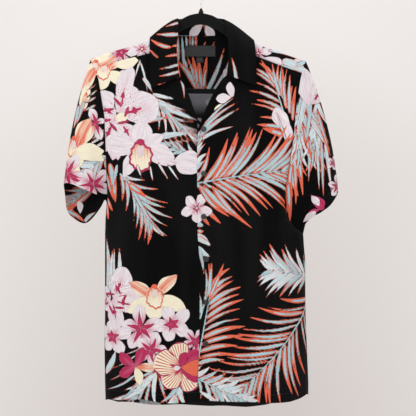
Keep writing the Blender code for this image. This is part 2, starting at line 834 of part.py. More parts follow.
def hanger_hook(parts):
    """The wire: a straight stem, a bend to one side and a round hook over the rod."""
    centre = -(HOOK_RADIUS - WIRE / 2)
    start = ARM["top"][0] + BOSS_HEIGHT + 2 * BOSS_GAP
    angle = np.linspace(HOOK_FROM, HOOK_TO, 26)
    arc = np.stack([HOOK_RADIUS * np.cos(angle), centre + HOOK_RADIUS * np.sin(angle)], axis=-1)
    bend = arc[0]
    stem = np.array([[0, start], [0, start + 8], [0, start + 14]])
    t = np.linspace(0, 1, 7)[1:-1, None]
    knee = stem[-1] + np.array([0, 7])
    join = (1 - t) ** 2 * stem[-1] + 2 * t * (1 - t) * knee + t * t * bend
    path = np.concatenate([stem, join, arc])
    data = bpy.data.curves.new("hanger_hook", "CURVE")
    data.dimensions = "3D"
    data.bevel_depth = WIRE / 2 * MM
    data.bevel_resolution = 3
    data.use_fill_caps = True
    line = data.splines.new("POLY")
    line.points.add(len(path) - 1)
    for point, (x, z) in zip(line.points, path):
        point.co = (x * MM, 0, z * MM, 1)
    obj = bpy.data.objects.new("hanger_hook", data)
    data.materials.append(material("chrome"))
    obj.rotation_euler = (0, HANGER_TILT, 0)
    parts.objects.link(obj)


def clear_scene():
    """Removes what the scene holds, so that the part stands alone."""
    for obj in list(bpy.data.objects):
        bpy.data.objects.remove(obj, do_unlink=True)


def main():
    clear_scene()
    parts = bpy.data.collections.new("shirt_on_hanger")
    cutters = bpy.data.collections.new("cutters")
    bpy.context.scene.collection.children.link(parts)
    bpy.context.scene.collection.children.link(cutters)
    back_panel(parts)
    yoke(parts)
    yoke_inner(parts)
    for side in ("right", "left"):
        front_panel(side, parts)
        lapel(side, parts)
        sleeve(side, parts)
    collar(parts)
    patch("label", LABEL, LABEL_IN, parts)
    patch("size_tab", SIZE_TAB, LABEL_IN, parts)
    buttons = [button(f"button_{i + 1}", z, parts) for i, z in enumerate(BUTTON_HEIGHTS)]
    button_holes(buttons, cutters)
    hanger_body(parts)
    hanger_boss(parts)
    hanger_hook(parts)


main()
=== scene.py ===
"""Looks of a short-sleeved camp-collar shirt on a slim hanger.

The cloth is built as thin shells on the same surface as the model's walls: how far the cloth
stands from the hanger's plane is a function of x and z. The print is a set of signed
distances in millimetres, one for each ink, worked out at every point of a piece from a table
of leaves and flowers and cut to crisp edges by the material. Lengths are in millimetres
until a mesh is made. Left and right in the names are the wearer's.
"""

import math
from contextlib import contextmanager
from functools import partial

import bpy
import numpy as np

import bmesh
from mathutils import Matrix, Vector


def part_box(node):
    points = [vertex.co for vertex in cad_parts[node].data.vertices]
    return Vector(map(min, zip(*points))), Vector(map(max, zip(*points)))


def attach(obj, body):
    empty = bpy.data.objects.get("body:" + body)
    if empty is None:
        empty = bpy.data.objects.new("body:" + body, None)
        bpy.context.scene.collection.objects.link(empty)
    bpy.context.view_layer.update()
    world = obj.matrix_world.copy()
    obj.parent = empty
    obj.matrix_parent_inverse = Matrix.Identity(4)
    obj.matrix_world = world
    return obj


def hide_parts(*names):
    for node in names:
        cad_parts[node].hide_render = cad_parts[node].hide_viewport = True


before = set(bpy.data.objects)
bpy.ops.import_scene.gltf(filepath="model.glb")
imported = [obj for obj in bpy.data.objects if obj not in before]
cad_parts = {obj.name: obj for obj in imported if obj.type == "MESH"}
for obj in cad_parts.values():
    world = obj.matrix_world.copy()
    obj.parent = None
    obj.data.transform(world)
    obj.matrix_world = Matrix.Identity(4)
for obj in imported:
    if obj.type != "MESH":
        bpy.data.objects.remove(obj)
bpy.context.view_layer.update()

bl_info = {
    "name": "Camp-collar shirt on a hanger",
    "version": (1, 0, 0),
    "blender": (4, 5, 0),
    "location": "View3D > Sidebar > Shirt",
    "description": "Builds the looks of a printed shirt that hangs on a slim hanger",
    "category": "Add Mesh",
}

MM = 0.001
WALL = 1.2  # the model's cloth, which the shells here replace
LAID = 0.5  # between a piece and the piece that it lies on
HANGER_TILT = math.radians(1.0)
WIRE = 3.2
HOOK_RADIUS = 20.6  # to the middle of the wire
HOOK_FROM, HOOK_TO = math.radians(-48), math.radians(205)
STEM_FOOT = -74.7  # where the wire leaves its cone
BUTTONS = 6
LAP = 29.0
BREAK = -345.0
YOKE_DEEP = -243.0
FRONT_SEAM_IN = 84.0
NECK_HALF = 83.0
NECK_BACK = 45.0
NECK_SEAM = -124.0
RIDGE_ROUND = 4.6
SHOULDER_FALL = 95.0
LABEL = (-36.5, 29.5, -145.5, -169.5)  # left, right, top and bottom
SIZE_TAB = (-12.0, 3.0, -170.6, -182.0)
LABEL_IN = -(2 * (WALL + LAID) + 0.3)
HEM_BAND = 19.0  # depth of the turned hem at the bottom
CUFF_BAND = 25.0  # depth of the turned hem on the sleeves
STITCH_IN = 1.5  # from a turned hem's upper edge down to its row of stitches
FRONT_HIGH = 680.0  # with the widths below it gives the fronts their numbers of points
FRONT_WIDE = {"right": 242.0, "left": 236.0}
# How many points each piece has across and down, or down and across for the yokes, which have
# more behind the neck. The sleeves' are those of half a cuff, and then down to it.
MESH = {
    "back": (170, 250),
    "yoke": (18, 66),
    "yoke_back": (46, 66, 84),
    "lapel": (34, 72),
    "collar": (244, 72),
    "sleeve": (140, 88),
    "front_hem": (120, 340),
    "back_hem": (160, 340),
}
SIGN = {"right": -1, "left": 1}  # of x on either side
TURN = 6.283  # a wave texture takes its scale divided by a full turn
FADE_HEIGHTS = (-0.293, -0.262)  # z in m over which the wrong side comes out
VIEW_MIDDLE = (0.0132, -0.4935)  # x and z of the camera, in m
SQUARE = 2.1  # the print is set out on squares of this size, in mm
CORNER = (201.7, 27.0)  # how many squares their corner lies left of and below the origin
FILM = 36.0  # width of the camera's sensor
FLOOR, WALL_BACK, BEND = -1500.0, 3000.0, 1200.0  # of the backdrop: floor, wall and their bend


def table(names, rows):
    """Named columns from rows of numbers, with a semicolon between two rows."""
    cells = [row.split() for row in rows.split(";")]
    return dict(zip(names.split(), np.array(cells, float).T))


def hermite(t, p, q, step_p, step_q):
    """The cubic from p to q, with its slope given at both, at t from 0 to 1."""
    first = (1 + 2 * t) * (1 - t) ** 2 * p + t * (1 - t) ** 2 * step_p
    return first + t * t * (3 - 2 * t) * q + t * t * (t - 1) * step_q


# The top of the hanger's arms, from the middle out to the rounded end.
ARM = table("x top", """
    0 -84; 24 -89; 45 -101; 64 -117; 85 -133; 105 -144; 142 -157; 193 -174.5; 214 -184
""")
# How far the shoulder's ridge stands over the arms.
RIDGE_LIFT = table("x lift", """
    -232 -2.5; -226 1.8; -218 3; -208 3.2; -170 1; -125 0.6; -83 0.6; 83 0.6; 130 0.3; 170 0.9;
    203 2.1; 213 2.7; 219 1.9
""")
# The armholes and side seams, at the front and at the back, and the front edge.
SIDES = table("z right_front right_back left_front left_back edge", """
    -925 -201 -201 224 224 -9; -860 -203 -203 224 224 -8; -790 -204 -204 221 221 -5;
    -720 -203 -203 218 218 -4; -600 -203 -203 217 217 -4; -548 -203 -203 213 213 -8;
    -534 -202.5 -202.5 195 208 -9; -516 -202 -202 180 204 -9; -487 -200 -200 174 200 -9;
    -475 -198 -198 174 199 -9; -446 -197.4 -196 175 198 -9; -394 -198.5 -196 183 196 -9;
    -345 -199.4 -197 190.5 196 -9; -301 -201.3 -200 194 198 -9; -259 -208.4 -206 200 202 -9;
    -229 -213.8 -213 205 206 -9; -204 -222 -221 211 212 -9; -185 -233 -233 219 219 -9
""")
SHOULDER_TIP = {"right": (-232.0, -483.0), "left": (218.0, -548.0)}  # x, and the underarm's z
ARMHOLE_DEEP = 35.0  # how far the armhole's front and back edges stand from the hanger's plane
# The top of each front: along the roll line, the neck seam and the front yoke seam.
FRONT_TOP = {
    "left": table("x z", """
        -9 -337; 6 -294; 18 -268; 30 -245; 42 -227; 54 -216; 66 -206; 76 -192; 80 -177; 84 -164.5;
        114 -176; 160 -194; 213 -214
    """),
    "right": table("x z", """
        -224 -205; -190 -191; -148 -180; -108 -170; -84 -161.5; -80 -173; -74 -188; -64 -201;
        -52 -212; -41 -222; -30 -249; -20 -277; -9 -312; 6 -345; 22 -362
    """),
}
# How far the middle of the front and of the back stands from the hanger's plane.
DEPTH = table("z front back", """
    -925 60 58; -800 60 57; -600 56 54; -450 49 49; -330 43 47; -230 38 46; -100 36 46
""")
# The hem's height across the fronts and the back.
HEM = table("x front back", """
    -203 -889 -896; -180 -888 -908; -123 -885 -916; -87 -890 -918; -54 -891 -919; -10 -887 -920;
    24 -886 -922; 95 -889 -922; 137 -893 -918; 183 -890 -908; 204 -886 -896; 226 -878 -884
""")
# The largest folds: each is a soft vertical wave that fades in below its top.
FOLDS = {
    "front": table("x top wide rise lean", """
        -168 -330 26 6.5 8; -118 -470 34 -6 -10; -62 -560 30 4.5 6; 62 -520 32 5 -12;
        112 -400 30 -6 10; 160 -300 26 6.5 14
    """),
    "back": table("x top wide rise lean", """
        -160 -330 28 7 8; -96 -260 26 -6.5 -8; -40 -250 24 7 -4; 34 -250 24 7 6; 92 -300 28 -6 10;
        158 -340 28 7 4
    """),
}
# The sleeves' hems, from below the shoulder's tip, at t = 0, round to the underarm.
SLEEVE_HEM = {
    "right": table("t front_x front_z back_x back_z", """
        0 -289 -452 -289 -452; 0.12 -287 -443 -286 -494; 0.3 -272 -443 -271 -516;
        0.5 -248 -453 -249 -526; 0.8 -217 -466 -217 -496; 1 -203 -474 -203 -474
    """),
    "left": table("t front_x front_z back_x back_z", """
        0 286 -453 286 -453; 0.12 284 -462 283 -450; 0.3 270 -484 270 -462;
        0.55 248 -502 248 -482; 0.8 229 -513 229 -505; 1 218 -526 218 -526
    """),
}
SLEEVE_BULGE = {"right": 9.0, "left": 11.0}  # how much fuller the cap is halfway down
SLEEVE_DEEP = 30.0  # how far the sleeve's hem opens to the front and to the back
# The collar, from the gorge on one side round the back of the neck to the other: its neck
# seam, its roll and the edge of its leaf.
COLLAR = table("seam_x seam_y seam_z roll_x roll_y roll_z edge_x edge_y edge_z", """
    -52 -30 -226 -45 -34 -223 -104 -33 -247; -70 -26 -200 -50 -33 -188 -106 -31 -226;
    -81 -20 -171 -50.5 -27 -152 -108 -27 -196; -81.5 -14 -148 -50 -17 -120 -108 -21 -165;
    -82 -3 -124.5 -51 -3 -98 -107 -1 -135; -74 20 -124 -48 21 -94 -92 34 -146;
    -56 34 -124 -39 36 -90 -66 51 -142; -30 43 -124 -24 46 -87 -35 58.5 -138;
    1 46.5 -124 1 50 -86 1 61 -136; 32 43 -124 26 46 -87 37 58.5 -138;
    57 34 -124 42 36 -90 68 51 -143; 75 20 -125 50 21 -95 94 34 -148;
    82 -1 -128 50 0 -102 108 0 -140.5; 81.5 -14 -150 53.5 -17 -124 112 -21 -169;
    81 -20 -173 57 -27 -154 113 -27 -198; 70 -26 -200 57 -33 -187 114 -31 -222;
    58 -30 -223 53 -34 -219 113 -34 -242
""")
# The turned-out lapels: roll line and outer edge, from the break up to the gorge.
LAPEL = {
    "left": table("roll_x roll_z edge_x edge_z", """
        -7.5 -334 -5.5 -336; 0 -313 3 -311.5; 9 -289 24 -294; 20 -266 48 -276; 32 -244 70 -259;
        43 -231 83 -246; 50 -225 76 -238
    """),
    "right": table("roll_x roll_z edge_x edge_z", """
        -9 -309 -11 -312; -14 -295 -20 -300; -21 -277 -34 -289; -29 -256 -50 -275;
        -36 -240 -66 -262; -42 -231 -77 -252; -47 -228 -70 -243
    """),
}
# More creases, each a soft trough or ridge from one point to another on a face.
CREASES = {
    "front": table("x z to_x to_z wide rise", """
        -214 -214 -150 -330 9 -1.6; -196 -300 -140 -395 11 1.8; -190 -345 -120 -420 8 -1.2;
        -150 -205 -120 -330 12 1.3; -150 -420 -163 -700 9 -1.5; -88 -300 -101 -560 10 1.2;
        -52 -400 -40 -640 9 -1.1; -134 -640 -128 -880 12 2; -84 -700 -92 -885 11 -1.8;
        -24 -520 -30 -700 8 1; 26 -395 40 -560 8 -1.2; 34 -640 24 -860 10 1.6;
        88 -250 74 -460 12 1.5; 88 -205 90 -300 4 0.9; 118 -640 134 -885 12 1.9;
        82 -590 96 -880 9 -1.6; 136 -330 128 -560 9 -1.3; 172 -330 130 -470 10 1.7;
        176 -450 132 -540 8 -1.6; 204 -226 150 -330 10 -1.5; 168 -560 176 -780 9 -1.4;
        196 -600 188 -820 8 1.2; -186 -560 -180 -800 8 1.3
    """),
    "back": table("x z to_x to_z wide rise", """
        -212 -230 -150 -350 10 -1.8; -190 -330 -128 -440 10 1.8; -134 -270 -140 -560 10 1.4;
        -66 -262 -72 -520 9 -1.4; -8 -262 -4 -600 12 -1.6; 60 -262 66 -500 9 -1.3;
        124 -280 132 -580 11 1.5; 204 -236 150 -350 10 -1.7; 196 -470 134 -560 9 1.8;
        -128 -640 -120 -910 12 2.2; -62 -600 -58 -915 10 1.8; 12 -660 20 -915 11 2;
        70 -620 64 -915 9 -1.8; 126 -660 134 -905 12 2.1; 178 -600 184 -860 9 -1.3;
        -180 -560 -178 -850 9 -1.2
    """),
}


def curve(columns, of, name, at):
    """The column as a cubic curve through its rows, read at the given places."""
    x, y = columns[of], columns[name]
    order = np.argsort(x)
    x, y = x[order], y[order]
    slope = np.gradient(y, x)
    at = np.clip(at, x[0], x[-1])
    k = np.clip(np.searchsorted(x, at) - 1, 0, len(x) - 2)
    wide = x[k + 1] - x[k]
    return hermite((at - x[k]) / wide, y[k], y[k + 1], wide * slope[k], wide * slope[k + 1])


def straight(columns, of, name, at):
    """The column read straight between its rows."""
    order = np.argsort(columns[of])
    return np.interp(at, columns[of][order], columns[name][order])


def smooth(value, low, high):
    """0 below low and 1 above high, as 3t^2 - 2t^3 between them."""
    t = np.clip((value - low) / (high - low), 0, 1)
    return t * t * (3 - 2 * t)


def arc(t):
    """A quarter circle's rise from 0, at t = 0, to 1, where it stays."""
    return np.sqrt(np.clip(1 - (1 - np.clip(t, 0, 1)) ** 2, 0, 1))


def arm_top(x):
    """Height of the hanger's top edge at x, once the hanger is turned by its tilt."""
    sine, cosine = math.sin(HANGER_TILT), math.cos(HANGER_TILT)
    own_z = curve(ARM, "x", "top", np.abs(x))
    for _ in range(4):
        own_x = (x - own_z * sine) / cosine
        own_z = curve(ARM, "x", "top", np.abs(own_x))
    return own_z * cosine - own_x * sine


def ridge(x):
    """Height of the shoulder's ridge, which lies on the tilted arms of the hanger."""
    return arm_top(x) + LAID + WALL / 2 + straight(RIDGE_LIFT, "x", "lift", x)


def armhole_depth(side, z):
    """How far the armhole's edge stands from the hanger's plane, an oval from tip to underarm.

    With t from 0 to 1 down its height it is ARMHOLE_DEEP * sin(pi t^0.8)^0.75.
    """
    x, low = SHOULDER_TIP[side]
    high = ridge(x)
    t = np.clip((high - z) / (high - low), 0, 1)
    return ARMHOLE_DEEP * np.sin(np.pi * t**0.8) ** 0.75


def folds(face, x, z):
    """The sum of the vertical waves and the creases on the front or the back.

    A wave is rise * exp(-(across / wide)^2), and it fades in over 260 mm below its top. A
    crease is the same along a slanted line, with sin(pi s)^0.7 from its one end to the other.
    """
    total = np.zeros(np.broadcast(x, z).shape)
    for middle, top, wide, rise, lean in zip(*FOLDS[face].values()):
        across = (x - middle - lean * (top - z) / 500) / wide
        total += rise * smooth(top - z, 0, 260) * np.exp(-across * across)
    for x0, z0, x1, z1, wide, rise in zip(*CREASES[face].values()):
        run = np.hypot(x1 - x0, z1 - z0)
        along = ((x - x0) * (x1 - x0) + (z - z0) * (z1 - z0)) / run**2
        across = ((x - x0) * (z1 - z0) - (z - z0) * (x1 - x0)) / run
        bent = across + 0.03 * run * np.sin(np.pi * np.clip(along, 0, 1))
        fade = np.sin(np.pi * np.clip(along, 0, 1)) ** 0.7
        total += rise * fade * np.exp(-((bent / wide) ** 2))
    return total


def depth(face, x, z):
    """How far the cloth stands from the hanger's plane at x and z, as a positive distance.

    Below the ridge by h it grows as 1 - exp(-h / SHOULDER_FALL) to the middle's depth with its
    folds, and towards each side, at u = 1, it closes as (1 - u^4)^0.5 to the armhole's edge.
    """
    x, z = np.broadcast_arrays(np.asarray(x, float), np.asarray(z, float))
    right = x < straight(SIDES, "z", "edge", z)
    limit = np.where(right, side_x("right", face, z), side_x("left", face, z))
    edge = np.where(right, armhole_depth("right", z), armhole_depth("left", z))
    flat = (1 - np.clip(np.abs(x / limit), 0, 1) ** 4) ** 0.5
    h = np.clip(ridge(np.where(np.abs(x) < NECK_HALF, np.sign(x) * NECK_HALF, x)) - z, 0, None)
    round_off = RIDGE_ROUND * arc(h / RIDGE_ROUND)
    spread = 1 - np.exp(-h / SHOULDER_FALL)
    middle = straight(DEPTH, "z", face, z) + folds(face, x, z)
    if face == "back":
        neck = NECK_BACK * np.sqrt(np.clip(1 - (x / NECK_HALF) ** 2, 0, 1))
        round_off = np.maximum(round_off, neck)
    top = np.minimum(edge, round_off + 100 * spread)
    return top + (round_off + (middle - round_off) * spread - top) * flat


def on(face, x, z, out=0.0):
    """Points on the front or the back, moved out of the surface by a distance."""
    y = np.maximum(depth(face, x, z), 0) + out
    x, z = np.broadcast_arrays(x, z)
    return np.stack([x, -y if face == "front" else y, z], axis=-1)


def unit(vectors):
    """Vectors at length 1."""
    return vectors / np.maximum(np.linalg.norm(vectors, axis=-1, keepdims=True), 1e-9)


def normals(grid):
    """Unit normals of a grid, as the cross product of its steps down and along its rows."""
    return unit(np.cross(np.gradient(grid, axis=0), np.gradient(grid, axis=1)))


def lengths(line):
    """How far along a line of points each of them lies."""
    return np.append(0, np.cumsum(np.linalg.norm(np.diff(line, axis=0), axis=1)))


def spaced(count, ease=0.25):
    """Fractions from 0 to 1, closer at the far end, where a panel turns to its side."""
    s = np.linspace(0, 1, count)
    return (1 - ease) * s + ease * np.sin(s * np.pi / 2)


def seam_groove(gap, deep=0.8, wide=2.2):
    """How far cloth dips at a seam that lies a distance away: deep * exp(-(gap / wide)^2)."""
    return -deep * np.exp(-((gap / wide) ** 2))


def hem_band(below):
    """How far a hem's double band stands out: half a millimetre, from its upper edge down."""
    return 0.5 * smooth(below, -HEM_BAND - 0.6, -HEM_BAND + 0.6)


def side_x(side, face, z):
    """x of a panel's side edge at each height."""
    return straight(SIDES, "z", f"{side}_{face}", z)


def edge_x(z, lap):
    """x of a front edge. Below the break the lap's reach is added over 25 mm of height."""
    return straight(SIDES, "z", "edge", z) + lap * np.clip((BREAK - z) / 25, 0, 1)


def front_grid(side, columns, rows):
    """A front's points: columns go from the front edge out to the side, rows down to the hem.

    A row's height and its ends depend on each other, so a few rounds settle both. The right
    front comes to lie one wall behind the left one between x = -55 and x = -30.
    """
    lap = 0.0 if side == "left" else LAP
    out = spaced(columns)
    top, x, hem = FRONT_TOP[side], np.zeros(columns), np.full(columns, -890.0)

    def across(z):
        return edge_x(z, lap) + (side_x(side, "front", z) - edge_x(z, lap)) * out

    for _ in range(30):
        x = across(straight(top, "x", "z", x))
    top_z = straight(top, "x", "z", x)
    for _ in range(6):
        hem = straight(HEM, "x", "front", across(hem))
    z = top_z + (hem - top_z) * np.linspace(0, 1, rows)[:, None]
    x = across(z)
    under = -(WALL + LAID) * np.clip((x + 55) / 25, 0, 1) if lap else 0.0
    lift = hem_band(hem - z) + seam_groove(np.abs(x - side_x(side, "front", z)))
    lift += np.where(np.abs(x) > FRONT_SEAM_IN, seam_groove(top_z - z), 0)
    return on("front", x, z, under + lift)


def back_grid(columns, rows):
    """The back below its yoke: rows go down to the curved hem, columns from right to left."""
    half = spaced(columns // 2 + 1)
    u = np.concatenate([-half[::-1], half[1:]]) / 2 + 0.5

    def sides(z):
        return side_x("right", "back", z), side_x("left", "back", z)

    hem = np.full(len(u), -915.0)
    for _ in range(4):
        right, left = sides(hem)
        hem = straight(HEM, "x", "back", right + (left - right) * u)
    z = YOKE_DEEP + (hem - YOKE_DEEP) * np.linspace(0, 1, rows)[:, None]
    right, left = sides(z)
    x = right + (left - right) * u
    seams = seam_groove(x - right) + seam_groove(left - x) + seam_groove(YOKE_DEEP - z)
    return on("back", x, z, hem_band(hem - z) + seams)


def neck_seam_height(x):
    """Height of the neck seam across the back, which rises from the shoulders to the middle."""
    side = np.where(x < 0, ridge(-NECK_HALF), ridge(NECK_HALF))
    t = np.clip(np.abs(x) / NECK_HALF, 0, 1) ** 3
    return NECK_SEAM + (side - NECK_SEAM) * t


# Distances below the ridge of a yoke's first rows, close together where it turns over.
FIRST_ROWS = np.array([0, 0.35, 1.0, 1.8, 2.8, 4.0, 5.4, 7.2, 9.4])


def front_seam(side, x):
    """Height of the front yoke seam at x."""
    beyond = np.where(np.abs(x) < FRONT_SEAM_IN, np.sign(x) * FRONT_SEAM_IN, x)
    return straight(FRONT_TOP[side], "x", "z", beyond)


def yoke_side(side, face, rows, columns):
    """A shoulder's grid from the ridge down to a seam, its columns going out to the armhole."""
    inner = NECK_HALF * SIGN[side]
    tip = SHOULDER_TIP[side][0]
    out = spaced(columns)
    crest_x = inner + (tip - inner) * out
    start = ridge(crest_x)
    below = np.linspace(0, 1, rows + 1)[1:, None]
    x = np.tile(crest_x, (len(FIRST_ROWS) + rows, 1))
    for _ in range(8):
        low = front_seam(side, x[-1]) if face == "front" else np.full(columns, YOKE_DEEP)
        first = start - FIRST_ROWS[-1]
        z = np.concatenate([start - FIRST_ROWS[:, None], first + (low - first) * below])
        limit = side_x(side, face, z)
        limit[0] = tip
        x = inner + (limit - inner) * out
    lift = seam_groove(np.abs(limit[:, -1:] - x)) + seam_groove(z - low)
    grid = on(face, x, z, lift * smooth(start - z, 0, 9))
    grid[0, :, 1] = 0
    return grid


def yoke_back_grid(rows, columns, neck_columns):
    """The yoke behind the ridge, from one armhole round the neck to the other."""
    right, left = (yoke_side(side, "back", rows, columns) for side in SIGN)
    angle = np.linspace(-math.pi / 2, math.pi / 2, neck_columns + 2)[1:-1]
    x = NECK_HALF * np.sin(angle)
    start = neck_seam_height(x)
    column = right[:, 0, 2]
    share = (column - column[0]) / (column[-1] - column[0])
    z = start + (YOKE_DEEP - start) * share[:, None]
    middle = on("back", x, z, seam_groove(z - YOKE_DEEP))
    return np.concatenate([right[:, ::-1], middle, left], axis=1)


def lapel_grid(side, columns, rows):
    """A lapel turned out over its front: it rolls over from the roll line and then lies flat.

    At s mm from the roll line it stands r * sqrt(1 - (1 - s/r)^2) out, up to a roll of r, and
    falls back to its bed as it goes on. Its outer edge turns down by half a millimetre.
    """
    place = dict(LAPEL[side], s=np.linspace(0, 1, len(LAPEL[side]["roll_x"])))
    s = np.linspace(0, 1, rows)
    roll_x, roll_z, out_x, out_z = (curve(place, "s", name, s) for name in LAPEL[side])
    width = np.maximum(np.hypot(out_x - roll_x, out_z - roll_z), 0.1)
    t = np.concatenate([[0, 0.004, 0.012, 0.025, 0.045, 0.07], np.linspace(0.1, 1, columns)])
    t = t[:, None]
    run = t * width
    roll = np.minimum(2.6, 0.35 * width + 0.5)
    turned = roll * arc(run / roll)
    bed = WALL + LAID - 0.3
    lift = turned + (bed - turned) * smooth(run, roll, roll + 16) - 0.5 * (t > 0.999)
    return on("front", roll_x + (out_x - roll_x) * t, roll_z + (out_z - roll_z) * t, lift)


def collar_grid(columns, rows):
    """The collar: a stand up to the roll, a tight fold, and a leaf that falls outside.

    Eleven rows of points run round the neck, from the seam over the fold to the leaf's edge,
    and the leaf bows out between the fold and the edge. Cubic curves join them.
    """
    count = len(COLLAR["seam_x"])
    place = dict(COLLAR, s=np.arange(count, dtype=float))
    s = np.linspace(0, count - 1, columns)
    seam, roll, edge = (
        np.stack([curve(place, "s", f"{part}_{axis}", s) for axis in "xyz"], axis=-1)
        for part in ("seam", "roll", "edge")
    )
    out, inward = unit(edge - roll), unit(seam - roll)
    up = unit(-(out + inward))
    face = unit(np.cross(np.gradient(roll, axis=0), out))
    knots = [seam, seam + (roll - seam) * 0.5, roll + inward * 5, roll + inward * 1.6]
    knots += [roll + up * 0.4, roll + out * 1.6 + face * 0.5, roll + out * 6 + face * 2.0]
    for t, bow in ((0.25, 3.5), (0.5, 3.5), (0.75, 2.0), (1.0, 0.0)):
        knots.append(roll + (edge - roll) * t + face * bow)
    knots = np.array(knots)
    at = np.linspace(0, len(knots) - 1, rows)
    k = np.clip(at.astype(int), 0, len(knots) - 2)
    before, after = knots[np.maximum(k - 1, 0)], knots[np.minimum(k + 2, len(knots) - 1)]
    p, q = knots[k], knots[k + 1]
    return hermite((at - k)[:, None, None], p, q, (q - before) / 2, (after - p) / 2)


def armhole(side, face, count):
    """The armhole's edge from the shoulder's tip to the underarm, as points."""
    tip_x, low = SHOULDER_TIP[side]
    high = ridge(tip_x)
    z = high + (low - high) * np.linspace(0, 1, count) ** 1.15
    x = side_x(side, face, z)
    x[0] = tip_x
    y = armhole_depth(side, z) * (-1 if face == "front" else 1)
    return np.stack([x, y, z], axis=-1)


def sleeve_grid(side):
    """A tube lofted from the armhole to the sleeve's hem, and where it is at the back.

    Each point goes straight from the armhole to the hem, and the cap is pushed out by
    bulge * 4s(1 - s) * cos(pi t / 2), with t from the tip to the underarm.
    """
    around, down = MESH["sleeve"]
    hem = SLEEVE_HEM[side]
    begin, end, place = [], [], []
    for face, toward in (("front", -1), ("back", 1)):
        edge = armhole(side, face, around)
        t = lengths(edge)
        t /= t[-1]
        deep = SLEEVE_DEEP * np.sin(np.pi * t) ** 0.7 * toward
        low = np.stack([curve(hem, "t", face + "_x", t), deep, curve(hem, "t", face + "_z", t)])
        pick = slice(None) if face == "front" else slice(-2, 0, -1)
        begin.append(edge[pick])
        end.append(low.T[pick])
        place.append((t * toward)[pick])
    begin, end, place = (np.concatenate(part) for part in (begin, end, place))
    s = np.linspace(0, 1, down)[:, None]
    grid = begin + (end - begin) * s[..., None]
    bulge = SLEEVE_BULGE[side] * SIGN[side]
    grid[..., 0] += bulge * np.cos(np.abs(place) * np.pi / 2) * 4 * s * (1 - s)
    return grid, np.broadcast_to(place > 0, grid.shape[:2])


# The inks of the print, in the order in which the material lays them, and its other tones:
# how far a petal is flushed, where a point lies along and across its own leaf or petal in mm,
# how densely it is speckled, and how strongly and in what phase it is striped.
INKS = ("coral", "aqua", "petal", "cream", "magenta")
TONES = ("flush", "run", "side", "speck", "stripe", "phase")
FAR = -9.0  # a signed distance well outside


def blank(x, z):
    """An unprinted piece: its points on the cloth, and no ink anywhere."""
    ink = {name: np.full(x.size, FAR) for name in INKS}
    ink.update({tone: np.zeros(x.size) for tone in TONES})
    return {"x": x.ravel(), "z": z.ravel(), "ink": ink}


def near(sheet, x, z, reach):
    """The points within reach of a place."""
    return np.nonzero((np.abs(sheet["x"] - x) < reach) & (np.abs(sheet["z"] - z) < reach))[0]


def lay(sheet, pick, inside, name, **tones):
    """Lays one ink over the others where inside, a signed distance in mm, is above 0."""
    ink = sheet["ink"]
    for other in INKS:
        ink[other][pick] = np.minimum(ink[other][pick], -inside)
    ink[name][pick] = np.maximum(ink[name][pick], np.clip(inside, FAR, -FAR))
    covered = inside > -1.2
    for tone, value in tones.items():
        ink[tone][pick] = np.where(covered, value, ink[tone][pick])


def along(sheet, pick, x0, z0, x1, z1):
    """Places of points from one end to the other, as a fraction, and the mm to its left."""
    run = math.hypot(x1 - x0, z1 - z0)
    dx, dz = sheet["x"][pick] - x0, sheet["z"][pick] - z0
    a = (dx * (x1 - x0) + dz * (z1 - z0)) / run**2
    b = (dz * (x1 - x0) - dx * (z1 - z0)) / run
    return a, b, run


def ahead_of(x, z, long, angle):
    """The place that lies a distance away from x and z, at an angle in radians."""
    return x + long * math.cos(angle), z + long * math.sin(angle)


def blade(sheet, x0, z0, x1, z1, wide, bow, paint, seed):
    """One leaflet: a slim lens of coral with an aqua heart that breaks up towards the tip.

    Its half width is 0.43 wide * sin(pi a^0.6)^0.7, about a middle line that bows sideways.
    paint says how much of it the aqua takes: 0 is all coral and 1 is nearly all aqua.
    """
    reach = math.hypot(x1 - x0, z1 - z0) * 0.62 + wide
    pick = near(sheet, (x0 + x1) / 2, (z0 + z1) / 2, reach)
    if not len(pick):
        return
    a, b, run = along(sheet, pick, x0, z0, x1, z1)
    b = b - bow * np.sin(np.pi * np.clip(a, 0, 1))
    t = np.clip(a, 0, 1)
    half = 0.43 * wide * np.sin(np.pi * t**0.6) ** 0.7
    inside = np.minimum(half - np.abs(b), np.minimum(a, 1 - a) * run)
    where = {"run": a * run + seed * 57.0, "side": b + seed * 13.0}
    pale = 0.4 * (paint > 0.9) + 0.3 * (paint > 0.98)
    lay(sheet, pick, inside, "coral", speck=0.0, stripe=0.0, flush=pale, **where)
    rim = 0.5 + wide * (0.22 - 0.19 * paint) + wide * 0.5 * smooth(a, 0.45 + 0.5 * paint, 1.1)
    lay(sheet, pick, inside - rim, "aqua")


